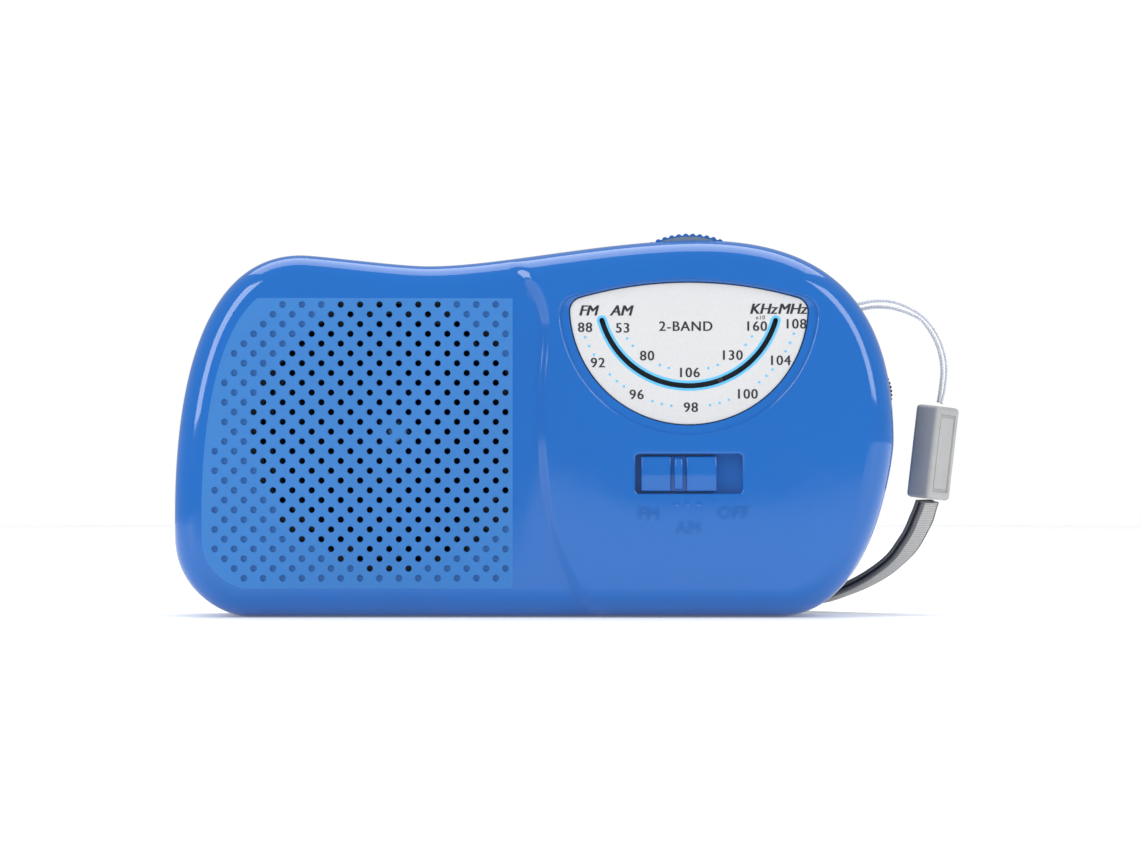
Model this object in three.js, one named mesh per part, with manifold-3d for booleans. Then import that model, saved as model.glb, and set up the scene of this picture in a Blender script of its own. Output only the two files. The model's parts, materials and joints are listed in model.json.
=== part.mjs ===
// Transistor pocket radio: two-part moulded case with speaker grille, dial, band switch,
// thumbwheels, circuit board, battery bay, folding antenna and wrist strap.
// Millimetres. X runs to the right of the front face, Y from front to back, Z up.
import * as THREE from 'three';
import { mergeVertices } from 'three/addons/utils/BufferGeometryUtils.js';
import Module from 'manifold-3d';

const wasm = await Module();
wasm.setup();

// ---- Driving dimensions ----

const gap = 0.3; // between pieces that rest on each other at an angle
const fit = 0.15; // between a piece and the pocket or hole that holds it
const running = 0.4; // between a moving piece and its neighbours

// Outline of the case seen from the front: heights and half widths of its turning points
const caseLeft = -62.6;
const caseRight = 62.2;
const leftCrest = new THREE.Vector2(-40.7, 62.7);
const waist = new THREE.Vector2(-18.5, 60.8);
const rightCrest = new THREE.Vector2(28.5, 65.3);
const footLeft = -50;
const footRight = 42.2;
const leftBulge = 13.7;
const rightBulge = 30.4;

const wall = 2;
const edgeRadius = 6.5; // how far the rounded front and back edges reach in from the outline
const edgeDepth = 7; // and how far they reach along the depth
const frontLeft = -14; // front face of the speaker half
const frontRight = -15; // the dial half stands a little proud
const back = 15;
const stepAcross = 0.8; // where the step between the two halves stands at mid height

const speaker = { x: -25, z: 31.7, radius: 25, depth: 15, magnet: 11 };
const seatWall = 1.5;
const seatHeight = 3;

const tuning = { x: 26.7, z: 50.9, radius: 15.6, front: -8.4, thickness: 2.8 };
const knurls = 78;
const knurlDepth = 0.45;
const shaftRadius = 3;

const volumeKnurls = 36;

const plate = { x: 26.5, z: 53.9, radius: 20.55, top: 57.8, crown: 68, thickness: 1 };
const plateBelowFace = 0.8;
const plateBorder = 1.6; // recess left free around the plate
const scaleSlot = { z: 55.6, radius: 15.6, width: 0.9, dip: 16 };

const bandWindow = { x: 26.5, z: 24.8, width: 18.5, height: 6.8, depth: 2.2 };
const bandKnob = { width: 13.1, height: 6.4, thickness: 1.4, ridge: 1.8, ridgeHeight: 0.7 };
const bandTravel = 4;
const bandStem = 2.4;

const board = { front: -4.8, thickness: 1.6, left: 2.5, right: 59, bottom: 6, top: 60 };

const cell = { radius: 7, length: 50, button: 1.6, buttonRadius: 2.7 };
const cellY = back - wall - 0.1 - cell.radius; // the cells lie against the door
const cellHeights = [15.2, 30];

const speakerFront = frontLeft + wall;
const basketRim = 1.5; // the basket starts this far inside the speaker's rim
const basketLip = 2; // and this far behind its front
const rimThickness = 1.4;
const magnetReach = 5.4; // magnet and back plate together

// How far out the speaker reaches at a depth: its basket narrows down to the magnet
function speakerReach(y) {
  const rim = speaker.radius - basketRim;
  const along = (y - speakerFront - basketLip) / (speaker.depth - magnetReach - basketLip);
  return Math.max(rim - (rim - speaker.magnet) * along, speaker.magnet + gap);
}

const bayWall = 1.2;
const bayFloor = cellY - cell.radius - gap;
const bayLeft = speaker.x + speakerReach(bayFloor - bayWall) + bayWall;
const bay = { left: bayLeft, right: bayLeft + 56.5, bottom: 7.6, top: 37.6, floor: bayFloor, wall: bayWall };
const cellLeft = bay.left + 4.5;
const door = { left: bay.left + gap, right: bay.right - gap, bottom: 7.9, top: 37.3 };

const shelf = { left: -68, right: 42, floor: 50, front: 9 };
const antenna = { x: 36, y: 12.2, z: 54, radii: [2.5, 2, 1.5, 1], length: 74 };
const tubeWall = 0.35;

const rod = { y: 1.6, z: 50.5, radius: 4, left: -49, right: -6 };

const screwRadius = 1.2;
const screwHead = 2.3;
const bossRadius = 3;
const caseScrews = [[-52.6, 43.5], [-53.5, 13], [46, 45], [50, 14.5]];
const boardScrews = [[5.2, 41.4], [54, 24]];

const strapNotch = { left: 46, floor: 10, bottom: 51, top: 56 };
const strapBar = { x: 49.5, y: 12.6, radius: 0.9 };
const cordRadius = 0.35;
const connector = { x: 70, y: 6.5, z: 28.4, length: 16.4, width: 8.3, thickness: 4.5, turn: 58, tilt: 6.5 };
const webbing = { width: 6.8, thickness: 1.9 };

// ---- Colours ----

const colours = {
  blue: 0x1f66c4, black: 0x1b1b1e, white: 0xe9ebee, slate: 0x34404c, steel: 0xc3c6ca,
  brass: 0xc9a24d, green: 0x2c6b45, ferrite: 0x35353a, copper: 0xb4683a, paper: 0x26262a,
  grey: 0xb4b4b6, orange: 0xd0782a, red: 0xb02a2a, pink: 0x968c9b, cream: 0xd9d2bd,
};

const finishes = {
  gloss: { roughness: 0.25, metalness: 0 },
  matte: { roughness: 0.7, metalness: 0 },
  metal: { roughness: 0.3, metalness: 1 },
};

const radio = new THREE.Group();

function addNode(name, shape, colour, finish = 'matte', parent = radio) {
  const geometry = shape.isBufferGeometry ? shape : geometryOf(shape);
  const material = new THREE.MeshStandardMaterial({ color: colours[colour], ...finishes[finish] });
  const mesh = new THREE.Mesh(geometry, material);
  mesh.name = name;
  parent.add(mesh);
  return mesh;
}

// ---- Solids ----

function solidOf(geometry) {
  const bare = new THREE.BufferGeometry();
  bare.setAttribute('position', geometry.getAttribute('position'));
  bare.setIndex(geometry.getIndex());
  const welded = mergeVertices(bare, 1e-4);
  const corners = welded.getIndex().array;
  const kept = [];
  for (let i = 0; i < corners.length; i += 3) {
    const [a, b, c] = [corners[i], corners[i + 1], corners[i + 2]];
    if (a !== b && b !== c && c !== a) kept.push(a, b, c);
  }
  const mesh = new wasm.Mesh({
    numProp: 3,
    vertProperties: welded.getAttribute('position').array,
    triVerts: new Uint32Array(kept),
  });
  return new wasm.Manifold(mesh);
}

function geometryOf(solid) {
  const mesh = solid.getMesh();
  const geometry = new THREE.BufferGeometry();
  geometry.setAttribute('position', new THREE.BufferAttribute(mesh.vertProperties, 3));
  geometry.setIndex(new THREE.BufferAttribute(mesh.triVerts, 1));
  return geometry;
}

// The solid of a closed surface whose faces may all point inwards
function outwards(geometry) {
  const solid = solidOf(geometry);
  if (solid.volume() > 0) return solid;
  const corners = Array.from(geometry.getIndex().array).reverse();
  geometry.setIndex(corners);
  return solidOf(geometry);
}

function box(x0, x1, y0, y1, z0, z1) {
  const geometry = new THREE.BoxGeometry(x1 - x0, y1 - y0, z1 - z0);
  geometry.translate((x0 + x1) / 2, (y0 + y1) / 2, (z0 + z1) / 2);
  return solidOf(geometry);
}

// A shape drawn in X and Z, pushed along the depth from y0 to y1
function prism(shape, y0, y1, curveSegments = 12) {
  const geometry = new THREE.ExtrudeGeometry(shape, { depth: y1 - y0, bevelEnabled: false, curveSegments });
  geometry.rotateX(Math.PI / 2);
  geometry.translate(0, y1, 0);
  return solidOf(geometry);
}

function roundShape(x, z, radius) {
  return new THREE.Shape().absarc(x, z, radius, 0, 2 * Math.PI);
}

// A cylinder that lies along the depth
function barAlongDepth(x, z, radius, y0, y1, sides = 16) {
  return prism(roundShape(x, z, radius), y0, y1, sides / 2);
}

function tubeAlongDepth(x, z, outer, inner, y0, y1, sides = 16) {
  const shape = roundShape(x, z, outer);
  shape.holes.push(new THREE.Path().absarc(x, z, inner, 0, 2 * Math.PI));
  return prism(shape, y0, y1, sides / 2);
}

// A cylinder that lies along X
function barAlongX(x0, x1, y, z, radius, sides = 16) {
  const geometry = new THREE.CylinderGeometry(radius, radius, x1 - x0, sides);
  geometry.rotateZ(-Math.PI / 2);
  geometry.translate((x0 + x1) / 2, y, z);
  return solidOf(geometry);
}

// A cylinder that stands upright
function barAlongZ(z0, z1, x, y, radius, sides = 16) {
  const geometry = new THREE.CylinderGeometry(radius, radius, z1 - z0, sides);
  geometry.rotateX(Math.PI / 2);
  geometry.translate(x, y, (z0 + z1) / 2);
  return solidOf(geometry);
}

// A profile of [radius, y] points turned around a line along the depth
function turned(profile, x, z, sides = 24) {
  const geometry = new THREE.LatheGeometry(profile.map(([r, y]) => new THREE.Vector2(r, y)), sides);
  geometry.translate(x, 0, z);
  return outwards(geometry);
}

function roundedBox(x, z, width, height, radius) {
  const shape = new THREE.Shape();
  const [w, h] = [width / 2, height / 2];
  shape.absarc(x + w - radius, z + h - radius, radius, 0, Math.PI / 2);
  shape.absarc(x - w + radius, z + h - radius, radius, Math.PI / 2, Math.PI);
  shape.absarc(x - w + radius, z - h + radius, radius, Math.PI, 1.5 * Math.PI);
  shape.absarc(x + w - radius, z - h + radius, radius, 1.5 * Math.PI, 2 * Math.PI);
  return shape;
}

// ---- Case outline ----

// A curve between two turning points, level at one and upright at the other as asked
function outlinePath() {
  const v = (x, z) => new THREE.Vector2(x, z);
  const path = new THREE.CurvePath();
  const left = v(caseLeft, leftBulge);
  const right = v(caseRight, rightBulge);
  const join = (a, b, c, d) => path.add(new THREE.CubicBezierCurve(a, b, c, d));
  join(v(footRight, 0), v(footRight + 17.2, 0), v(right.x, right.y - 2), right);
  join(right, v(right.x, right.y + 21.8), v(rightCrest.x + 24.5, rightCrest.y), rightCrest);
  join(rightCrest, v(rightCrest.x - 16.4, rightCrest.y), v(waist.x + 12.2, waist.y), waist);
  join(waist, v(waist.x - 5.6, waist.y), v(leftCrest.x + 3, leftCrest.y), leftCrest);
  join(leftCrest, v(leftCrest.x - 23.2, leftCrest.y), v(left.x, left.y + 7.8), left);
  join(left, v(left.x, left.y - 9.3), v(footLeft - 4.2, 0), v(footLeft, 0));
  path.add(new THREE.LineCurve(v(footLeft, 0), v(footRight, 0)));
  return path;
}

const outlineSteps = 76;
const outlineCurve = outlinePath();

// The outline's right edge at a height
function rightEdge(z) {
  const fine = outlineCurve.getSpacedPoints(600).filter((point) => point.x > footRight);
  return fine.reduce((best, point) => (Math.abs(point.y - z) < Math.abs(best.y - z) ? point : best)).x;
}

// The shortest way from a point inside to the outline
function outlineDistance(x, z) {
  const distances = outlineCurve.getSpacedPoints(600).map((point) => Math.hypot(point.x - x, point.y - z));
  return Math.min(...distances);
}

const volumeInset = 6.13; // the volume wheel's axis lies this far inside the outline
const volumeHeight = 38.5;
const volume = { x: rightEdge(volumeHeight) - volumeInset, z: volumeHeight, radius: 7, front: 1.9, thickness: 2.4 };

// The outline moved inwards, as a ring of points at one depth
function outlineRing(inset, y) {
  const ring = [];
  for (let i = 0; i < outlineSteps; i += 1) {
    const point = outlineCurve.getPoint(i / outlineSteps);
    const along = outlineCurve.getTangent(i / outlineSteps);
    ring.push(new THREE.Vector3(point.x - inset * along.y, y, point.y + inset * along.x));
  }
  return ring;
}

// A closed solid through rings of equal length, from the front to the back
function loft(rings) {
  const points = rings.flat();
  const count = rings[0].length;
  const faces = [];
  for (let r = 0; r + 1 < rings.length; r += 1) {
    for (let i = 0; i < count; i += 1) {
      const j = (i + 1) % count;
      const [a, b] = [r * count + i, r * count + j];
      faces.push(a, b, a + count, b, b + count, a + count);
    }
  }
  const flat = (ring) => ring.map((p) => new THREE.Vector2(p.x, p.z));
  const first = THREE.ShapeUtils.triangulateShape(flat(rings[0]), []);
  const last = THREE.ShapeUtils.triangulateShape(flat(rings[rings.length - 1]), []);
  const end = (rings.length - 1) * count;
  first.forEach(([a, b, c]) => faces.push(a, c, b));
  last.forEach(([a, b, c]) => faces.push(end + a, end + b, end + c));
  const geometry = new THREE.BufferGeometry();
  const flatPoints = new Float32Array(points.flatMap((p) => [p.x, p.y, p.z]));
  geometry.setAttribute('position', new THREE.BufferAttribute(flatPoints, 3));
  geometry.setIndex(faces);
  return outwards(geometry);
}

// Half a case: straight from the parting plane, then rounded over to a flat face
function bowl(face, side, insetWall, extra) {
  const depth = edgeDepth - insetWall;
  const reach = edgeRadius - insetWall;
  const turnSteps = 3;
  const rings = [outlineRing(insetWall, -side * extra), outlineRing(insetWall, face - side * depth)];
  for (let i = 1; i <= turnSteps; i += 1) {
    const angle = (i / turnSteps) * (Math.PI / 2);
    const inset = insetWall + reach * (1 - Math.cos(angle));
    rings.push(outlineRing(inset, face - side * depth * (1 - Math.sin(angle))));
  }
  return loft(rings);
}

const overlapDepth = 1; // how far the cavities reach past the parting plane

// ---- Shapes shared by pieces that fit each other ----

// The dial plate: the lower part of a circle under a slightly crowned top edge
function plateOutline(margin) {
  const radius = plate.radius + margin;
  const top = plate.top + margin;
  const crown = plate.crown + margin;
  const corner = 2.4 + margin;
  const crownZ = top - crown;
  const reachX = (r, z) => Math.sqrt(r * r - z * z);
  const inner = radius - corner;
  const innerCrown = crown - corner;
  const apart = plate.z - crownZ;
  const alongZ = (innerCrown ** 2 - inner ** 2 + apart ** 2) / (2 * apart);
  const cornerX = reachX(innerCrown, alongZ);
  const cornerZ = crownZ + alongZ;
  const sideAngle = Math.atan2(cornerZ - plate.z, cornerX);
  const topAngle = Math.atan2(alongZ, cornerX);
  const shape = new THREE.Shape();
  shape.absarc(plate.x, plate.z, radius, Math.PI - sideAngle, 2 * Math.PI + sideAngle);
  shape.absarc(plate.x + cornerX, cornerZ, corner, sideAngle, topAngle);
  shape.absarc(plate.x, crownZ, crown, topAngle, Math.PI - topAngle);
  shape.absarc(plate.x - cornerX, cornerZ, corner, Math.PI - topAngle, Math.PI - sideAngle);
  return shape;
}

// The curved slot of the dial, with round ends
function slotOutline(margin) {
  const half = scaleSlot.width / 2 + margin;
  const dip = THREE.MathUtils.degToRad(scaleSlot.dip);
  const [from, to] = [Math.PI + dip, 2 * Math.PI - dip];
  const at = (angle) => [
    plate.x + scaleSlot.radius * Math.cos(angle),
    scaleSlot.z + scaleSlot.radius * Math.sin(angle),
  ];
  const shape = new THREE.Shape();
  shape.absarc(plate.x, scaleSlot.z, scaleSlot.radius + half, from, to, false);
  shape.absarc(...at(to), half, to, to + Math.PI, false);
  shape.absarc(plate.x, scaleSlot.z, scaleSlot.radius - half, to, from, true);
  shape.absarc(...at(from), half, from + Math.PI, from + 2 * Math.PI, false);
  return shape;
}

// A wheel's edge with round-bottomed grooves, as a wavy circle
function knurledOutline(x, z, radius, count, depth, pointsPerKnurl) {
  const shape = new THREE.Shape();
  const total = count * pointsPerKnurl;
  for (let i = 0; i < total; i += 1) {
    const angle = (2 * Math.PI * i) / total;
    const r = radius - depth * (0.5 - 0.5 * Math.cos(count * angle));
    const [px, pz] = [x + r * Math.cos(angle), z + r * Math.sin(angle)];
    if (i === 0) shape.moveTo(px, pz);
    else shape.lineTo(px, pz);
  }
  shape.closePath();
  return shape;
}

// The line where the dial half steps up from the speaker half, as an S
function stepCurve() {
  const v = (x, z) => new THREE.Vector2(x, z);
  const upper = new THREE.CubicBezierCurve(v(-5, 64), v(1.5, 58.5), v(stepAcross, 50), v(stepAcross, 40));
  const lower = new THREE.CubicBezierCurve(v(stepAcross, 40), v(stepAcross, 22), v(2.2, 8), v(12, -1));
  return [...upper.getPoints(8), ...lower.getPoints(10).slice(1)];
}

function dialHalf(y0, y1) {
  const far = 80;
  const shape = new THREE.Shape([...stepCurve(), new THREE.Vector2(far, -1), new THREE.Vector2(far, far)]);
  return prism(shape, y0, y1);
}

// ---- Case ----

const wheelGap = running;

function tuningSlot() {
  const y0 = tuning.front - wheelGap;
  const y1 = tuning.front + tuning.thickness + wheelGap;
  return barAlongDepth(tuning.x, tuning.z, tuning.radius + running, y0, y1, 48);
}

function volumeSlot() {
  const y0 = volume.front - wheelGap;
  const y1 = volume.front + volume.thickness + wheelGap;
  return barAlongDepth(volume.x, volume.z, volume.radius + running, y0, y1, 32);
}

function frontShell() {
  const floorY = frontRight + plateBelowFace + plate.thickness;
  const skinBack = frontLeft + wall;
  let shell = bowl(frontLeft, -1, 0, 0);
  const raised = bowl(frontRight, -1, 0, 0).intersect(dialHalf(frontRight - 1, 0));
  shell = shell.add(raised);
  shell = shell.subtract(bowl(skinBack, -1, wall, overlapDepth));
  shell = shell.subtract(prism(plateOutline(plateBorder), frontRight - 1, floorY, 10));
  shell = shell.subtract(prism(slotOutline(1.6), frontRight, skinBack + 1, 10));
  const seat = tubeAlongDepth(speaker.x, speaker.z, speaker.radius + fit + seatWall, speaker.radius + fit,
    skinBack - wall / 2, skinBack + seatHeight, 32);
  shell = shell.add(seat.intersect(bowl(frontLeft, -1, wall / 2, 0)));
  const speakerPocket = barAlongDepth(speaker.x, speaker.z, speaker.radius + fit, skinBack, skinBack + seatHeight, 32);
  shell = shell.subtract(speakerPocket);
  for (const [x, z] of caseScrews) {
    shell = shell.add(tubeAlongDepth(x, z, bossRadius, screwRadius, skinBack - wall / 2, -fit, 12));
  }
  for (const [x, z] of boardScrews) {
    shell = shell.add(tubeAlongDepth(x, z, bossRadius - 0.4, screwRadius, skinBack - wall / 2, board.front, 12));
  }
  shell = shell.subtract(tuningSlot());
  return shell.subtract(bandOpening());
}

function bandOpening() {
  const { x, z, width, height, depth } = bandWindow;
  const floorY = frontRight + depth;
  const pocket = prism(roundedBox(x, z, width, height, 0.7), frontRight - 1, floorY, 3);
  const knobX = bandKnobX();
  const slotLeft = knobX - bandStem / 2 - running;
  const slotRight = knobX + bandTravel + bandStem / 2 + running;
  return pocket.add(box(slotLeft, slotRight, floorY - 0.5, frontLeft + wall + 1, z - 1.6, z + 1.6));
}

// Centre of the knob at its left-most step
function bandKnobX() {
  return bandWindow.x - bandWindow.width / 2 + 1 + bandKnob.width / 2;
}

function shelfBlock(margin) {
  const tall = 20;
  return box(shelf.left - margin, shelf.right + margin, shelf.front - margin, back + 1,
    shelf.floor - margin, shelf.floor + tall);
}

function notchBlock(margin) {
  const { left, floor, bottom, top } = strapNotch;
  return box(left - margin, caseRight + 5, floor - margin, back + 1, bottom - margin, top + margin);
}

function rearShell() {
  const wallBack = back - wall;
  let cavity = bowl(wallBack, 1, wall, overlapDepth);
  cavity = cavity.subtract(shelfBlock(wall)).subtract(notchBlock(wall));
  let shell = bowl(back, 1, 0, 0).subtract(shelfBlock(0)).subtract(notchBlock(0)).subtract(cavity);
  shell = shell.add(bayWalls());
  const { x: barX, y: barY, radius: barRadius } = strapBar;
  shell = shell.add(barAlongZ(strapNotch.bottom - 1, strapNotch.top + 1, barX, barY, barRadius, 12));
  for (const [x, z] of caseScrews) {
    shell = shell.add(barAlongDepth(x, z, bossRadius, fit, wallBack + wall / 2, 12));
    shell = shell.subtract(barAlongDepth(x, z, screwRadius + fit, -1, back + 1, 12));
    shell = shell.subtract(barAlongDepth(x, z, screwHead + fit, back - screwHeadDepth, back + 1, 16));
  }
  shell = shell.subtract(volumeSlot());
  shell = shell.subtract(jackHole());
  const pivotHole = barAlongDepth(antenna.x, antenna.z, pivotShaft + fit, shelf.front - wall - 1, shelf.front + 1);
  return shell.subtract(pivotHole);
}

const screwHeadDepth = 4;
const pivotShaft = 1.5;

// Walls and floor of the battery bay, open at the back for the door
function bayWalls() {
  const { left, right, bottom, top, floor, wall: side } = bay;
  const wallBack = back - wall;
  const outer = box(left - side, right + side, floor - side, wallBack + side / 2, bottom - side, top + side);
  const inner = box(left, right, floor, back + 1, bottom, top);
  const opening = box(door.left - fit, door.right + fit, wallBack - 1, back + 1, door.bottom - fit, door.top + fit);
  return outer.subtract(inner).subtract(opening);
}

function doorOpening() {
  return box(door.left - fit, door.right + fit, back - wall - 1, back + 1, door.bottom - fit, door.top + fit);
}

const jack = { y: 6, z: 30.7, radius: 3, depth: 12 };

function jackHole() {
  return barAlongX(caseLeft - 1, caseLeft + 6, jack.y, jack.z, jack.radius + fit);
}

function batteryDoor() {
  const { left, right, bottom, top } = door;
  const inside = back - wall;
  let panel = prism(new THREE.Shape().setFromPoints([
    new THREE.Vector2(left, bottom), new THREE.Vector2(right, bottom),
    new THREE.Vector2(right, top), new THREE.Vector2(left, top),
  ]), inside + 0.05, back, 1);
  for (let i = 0; i < 5; i += 1) {
    const x = right - 4 - i * 1.6;
    panel = panel.subtract(box(x - 0.4, x + 0.4, back - 0.5, back + 1, bottom + 9, top - 9));
  }
  const tongue = box(right - 0.7, right, inside - 1.4, inside + 0.3, (bottom + top) / 2 - 2, (bottom + top) / 2 + 2);
  return panel.add(tongue);
}


// ---- Dial and tuning ----

const disc = { thickness: 0.5, radius: tuning.radius - 0.5 };
const pointer = { from: 4, to: disc.radius - 0.2, width: 0.9, thickness: 0.2, angle: -61.4 };

function dialPlate() {
  const front = frontRight + plateBelowFace;
  const card = prism(plateOutline(0), front, front + plate.thickness, 8);
  return card.subtract(prism(slotOutline(0), front - 1, frontRight + 5, 8));
}

function tuningWheel() {
  const { x, z, radius, front, thickness } = tuning;
  const rim = prism(knurledOutline(x, z, radius, knurls, knurlDepth, 2), front + disc.thickness, front + thickness);
  return rim.subtract(barAlongDepth(x, z, shaftRadius + fit, front, front + thickness + 1, 16));
}

function pointerDisc() {
  const { x, z, front } = tuning;
  return tubeAlongDepth(x, z, disc.radius, screwRadius + fit, front, front + disc.thickness, 40);
}

function pointerLine() {
  const { from, to, width, thickness, angle } = pointer;
  const geometry = new THREE.BoxGeometry(to - from, thickness, width);
  geometry.translate((from + to) / 2, -thickness / 2, 0);
  geometry.rotateY(-THREE.MathUtils.degToRad(angle));
  geometry.translate(tuning.x, tuning.front, tuning.z);
  return solidOf(geometry);
}

// A screw along the depth: a round head on a shank, the head's outer face at y0
function screw(x, z, y0, length, headHeight, direction) {
  const neck = y0 + direction * headHeight;
  const tip = y0 + direction * length;
  const low = (a, b) => [Math.min(a, b), Math.max(a, b)];
  const head = barAlongDepth(x, z, screwHead, ...low(y0, neck), 12);
  const shank = barAlongDepth(x, z, screwRadius - fit / 2, ...low(neck, tip), 12);
  const slot = box(x - screwHead, x + screwHead, ...low(y0 - direction, y0 + direction * 0.4), z - 0.3, z + 0.3);
  return head.add(shank).subtract(slot);
}

const boardBack = board.front + board.thickness;
const shaftFoot = boardBack + 1.4;

function tuningShaft() {
  const { x, z, front } = tuning;
  const hole = screwRadius + fit;
  const profile = [[hole, front + disc.thickness], [shaftRadius, front + disc.thickness], [shaftRadius, shaftFoot],
    [0, shaftFoot], [0, front + 4], [hole, front + 4], [hole, front + disc.thickness]];
  return turned(profile, x, z, 16);
}

const capacitor = { size: 20, depth: 8 };

function tuningCapacitor() {
  const { x, z } = tuning;
  const half = capacitor.size / 2;
  const body = box(x - half, x + half, boardBack, boardBack + capacitor.depth, z - half, z + half);
  return body.subtract(barAlongDepth(x, z, shaftRadius + fit, boardBack - 1, shaftFoot + fit, 16));
}

// ---- Volume control ----

const pot = { radius: outlineDistance(volume.x, volume.z) - wall - gap, stub: 1.5 };

function volumeBody() {
  const { x, z, front } = volume;
  const body = barAlongDepth(x, z, pot.radius, boardBack, front - running, 16);
  return body.subtract(barAlongDepth(x, z, pot.stub + fit, front - 2, front, 12));
}

function volumeRotor() {
  const { x, z, front, thickness } = volume;
  const hole = screwRadius - 0.3;
  const top = front + thickness;
  return turned([[0, front - 1.8], [pot.stub, front - 1.8], [pot.stub, top], [hole, top], [hole, top - 2],
    [0, top - 2]], x, z, 12);
}

function volumeWheel() {
  const { x, z, radius, front, thickness } = volume;
  const rim = prism(knurledOutline(x, z, radius, volumeKnurls, 0.3, 2), front, front + thickness);
  return rim.subtract(barAlongDepth(x, z, pot.stub, front - 1, front + thickness + 1, 12));
}

function volumeScrew() {
  const { x, z, front, thickness } = volume;
  const top = front + thickness;
  const head = barAlongDepth(x, z, screwHead - 0.3, top, top + 0.8, 12);
  return head.add(barAlongDepth(x, z, screwRadius - 0.3 - fit / 2, top - 1.8, top, 12));
}

// ---- Band switch ----

const lever = { width: 2, height: 1.6, front: -11.3 };
const switchBody = { width: 16, height: 7, depth: 4 };

function bandKnobSolid() {
  const x = bandKnobX();
  const { z, depth } = bandWindow;
  const { width, height, thickness, ridge, ridgeHeight } = bandKnob;
  const floorY = frontRight + depth;
  const faceY = floorY - thickness;
  const rib = (x0, x1) => box(x0, x1, floorY - 0.5, lever.front + 2, z - 1.3, z + 1.3);
  let knob = prism(roundedBox(x, z, width, height - 2 * fit, 0.5), faceY, floorY - fit / 2, 3);
  const ridgeHalf = height / 2 - 0.4;
  knob = knob.add(box(x - ridge / 2, x + ridge / 2, faceY - ridgeHeight, faceY + 0.2, z - ridgeHalf, z + ridgeHalf));
  for (const side of [-1, 1]) {
    const groove = x + side * (ridge / 2 + 0.5);
    knob = knob.subtract(box(groove - 0.3, groove + 0.3, faceY - 0.01, faceY + 0.4, z - height, z + height));
  }
  const inner = lever.width / 2 + fit / 2;
  const outer = bandStem / 2 + 0.2;
  return knob.add(rib(x - outer, x - inner)).add(rib(x + inner, x + outer));
}

function switchCase() {
  const { z } = bandWindow;
  const x = bandKnobX() + bandTravel / 2;
  const { width, height, depth } = switchBody;
  const y0 = board.front - depth;
  const body = box(x - width / 2, x + width / 2, y0, board.front, z - height / 2, z + height / 2);
  const half = bandTravel / 2 + lever.width / 2 + running;
  const leverHalf = lever.height / 2 + fit;
  return body.subtract(box(x - half, x + half, y0 - 1, y0 + 2.5, z - leverHalf, z + leverHalf));
}

function switchLever() {
  const x = bandKnobX();
  const { z } = bandWindow;
  const foot = board.front - switchBody.depth + 2;
  return box(x - lever.width / 2, x + lever.width / 2, lever.front, foot, z - lever.height / 2, z + lever.height / 2);
}

// ---- Circuit board ----

function circuitBoard() {
  const inset = wall + 0.6;
  const ring = outlineRing(inset, 0).map((p) => new THREE.Vector2(p.x, p.z));
  let sheet = prism(new THREE.Shape(ring), board.front, boardBack, 1);
  sheet = sheet.intersect(box(board.left, board.right, board.front, boardBack, board.bottom, board.top));
  const hole = (x, z, radius) => barAlongDepth(x, z, radius, board.front - 1, boardBack + 1, 12);
  for (const [x, z] of caseScrews) sheet = sheet.subtract(hole(x, z, bossRadius + running));
  for (const [x, z] of boardScrews) sheet = sheet.subtract(hole(x, z, screwRadius + fit));
  return sheet.subtract(hole(tuning.x, tuning.z, shaftRadius + running));
}

const can = { size: 7.5, height: 9, core: 1.6 };

function ifCan(x, z) {
  const half = can.size / 2;
  const y1 = boardBack + can.height;
  const shield = box(x - half, x + half, boardBack, y1, z - half, z + half);
  return shield.subtract(barAlongDepth(x, z, can.core, y1 - 1, y1 + 1, 8));
}

// Parts on the front of the board stand towards the front shell
function frontCan(x, z, radius, height) {
  return barAlongDepth(x, z, radius, board.front - height, board.front, 12);
}

function frontBlock(x, z, width, tall, height) {
  return box(x - width / 2, x + width / 2, board.front - height, board.front, z - tall / 2, z + tall / 2);
}

function airCoil(x, z) {
  const coil = tubeAlongDepth(x, z, 2.2, 1.5, board.front - 5, board.front, 12);
  return coil;
}

// ---- Speaker ----

function speakerFrame() {
  const { x, z, radius, depth, magnet } = speaker;
  const y = speakerFront;
  const end = y + depth - magnetReach;
  const profile = [[radius, y], [radius - 2.4, y], [radius - 2.4, y + 1.8], [magnet - 0.8, end - 1], [6, end - 1],
    [6, end], [magnet, end], [radius - basketRim, y + basketLip], [radius - basketRim, y + rimThickness],
    [radius, y + rimThickness], [radius, y]];
  return turned(profile, x, z, 24);
}

const cone = { outer: 22.4, inner: 8.5, thickness: 0.4, front: 0.5, depth: 3.4, coil: 4.6, coilReach: 4 };

function speakerCone() {
  const y = speakerFront + cone.front;
  const t = cone.thickness;
  const { outer, inner, depth, coil, coilReach } = cone;
  return turned([[outer, y + 0.7], [outer - 0.7, y], [outer - 1.7, y], [outer - 2.4, y + 0.7], [inner, y + depth],
    [coil, y + depth], [coil, y + depth + coilReach], [coil + t, y + depth + coilReach], [coil + t, y + depth + t],
    [inner + t, y + depth + t], [outer - 2.4, y + 0.7 + t], [outer, y + 0.7 + t], [outer, y + 0.7]],
  speaker.x, speaker.z, 24);
}

function dustCap() {
  const y = speakerFront + cone.front + cone.depth;
  const rim = cone.inner - 0.6;
  const rise = 2.2;
  const sphere = (rim * rim + rise * rise) / (2 * rise);
  const profile = [[0, y]];
  const steps = 5;
  const reach = Math.asin(rim / sphere);
  for (let i = steps; i >= 0; i -= 1) {
    const angle = (reach * i) / steps;
    profile.push([sphere * Math.sin(angle), y + sphere - rise - sphere * Math.cos(angle)]);
  }
  return turned(profile, speaker.x, speaker.z, 24);
}

const magnetFront = speakerFront + speaker.depth - magnetReach;

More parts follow.
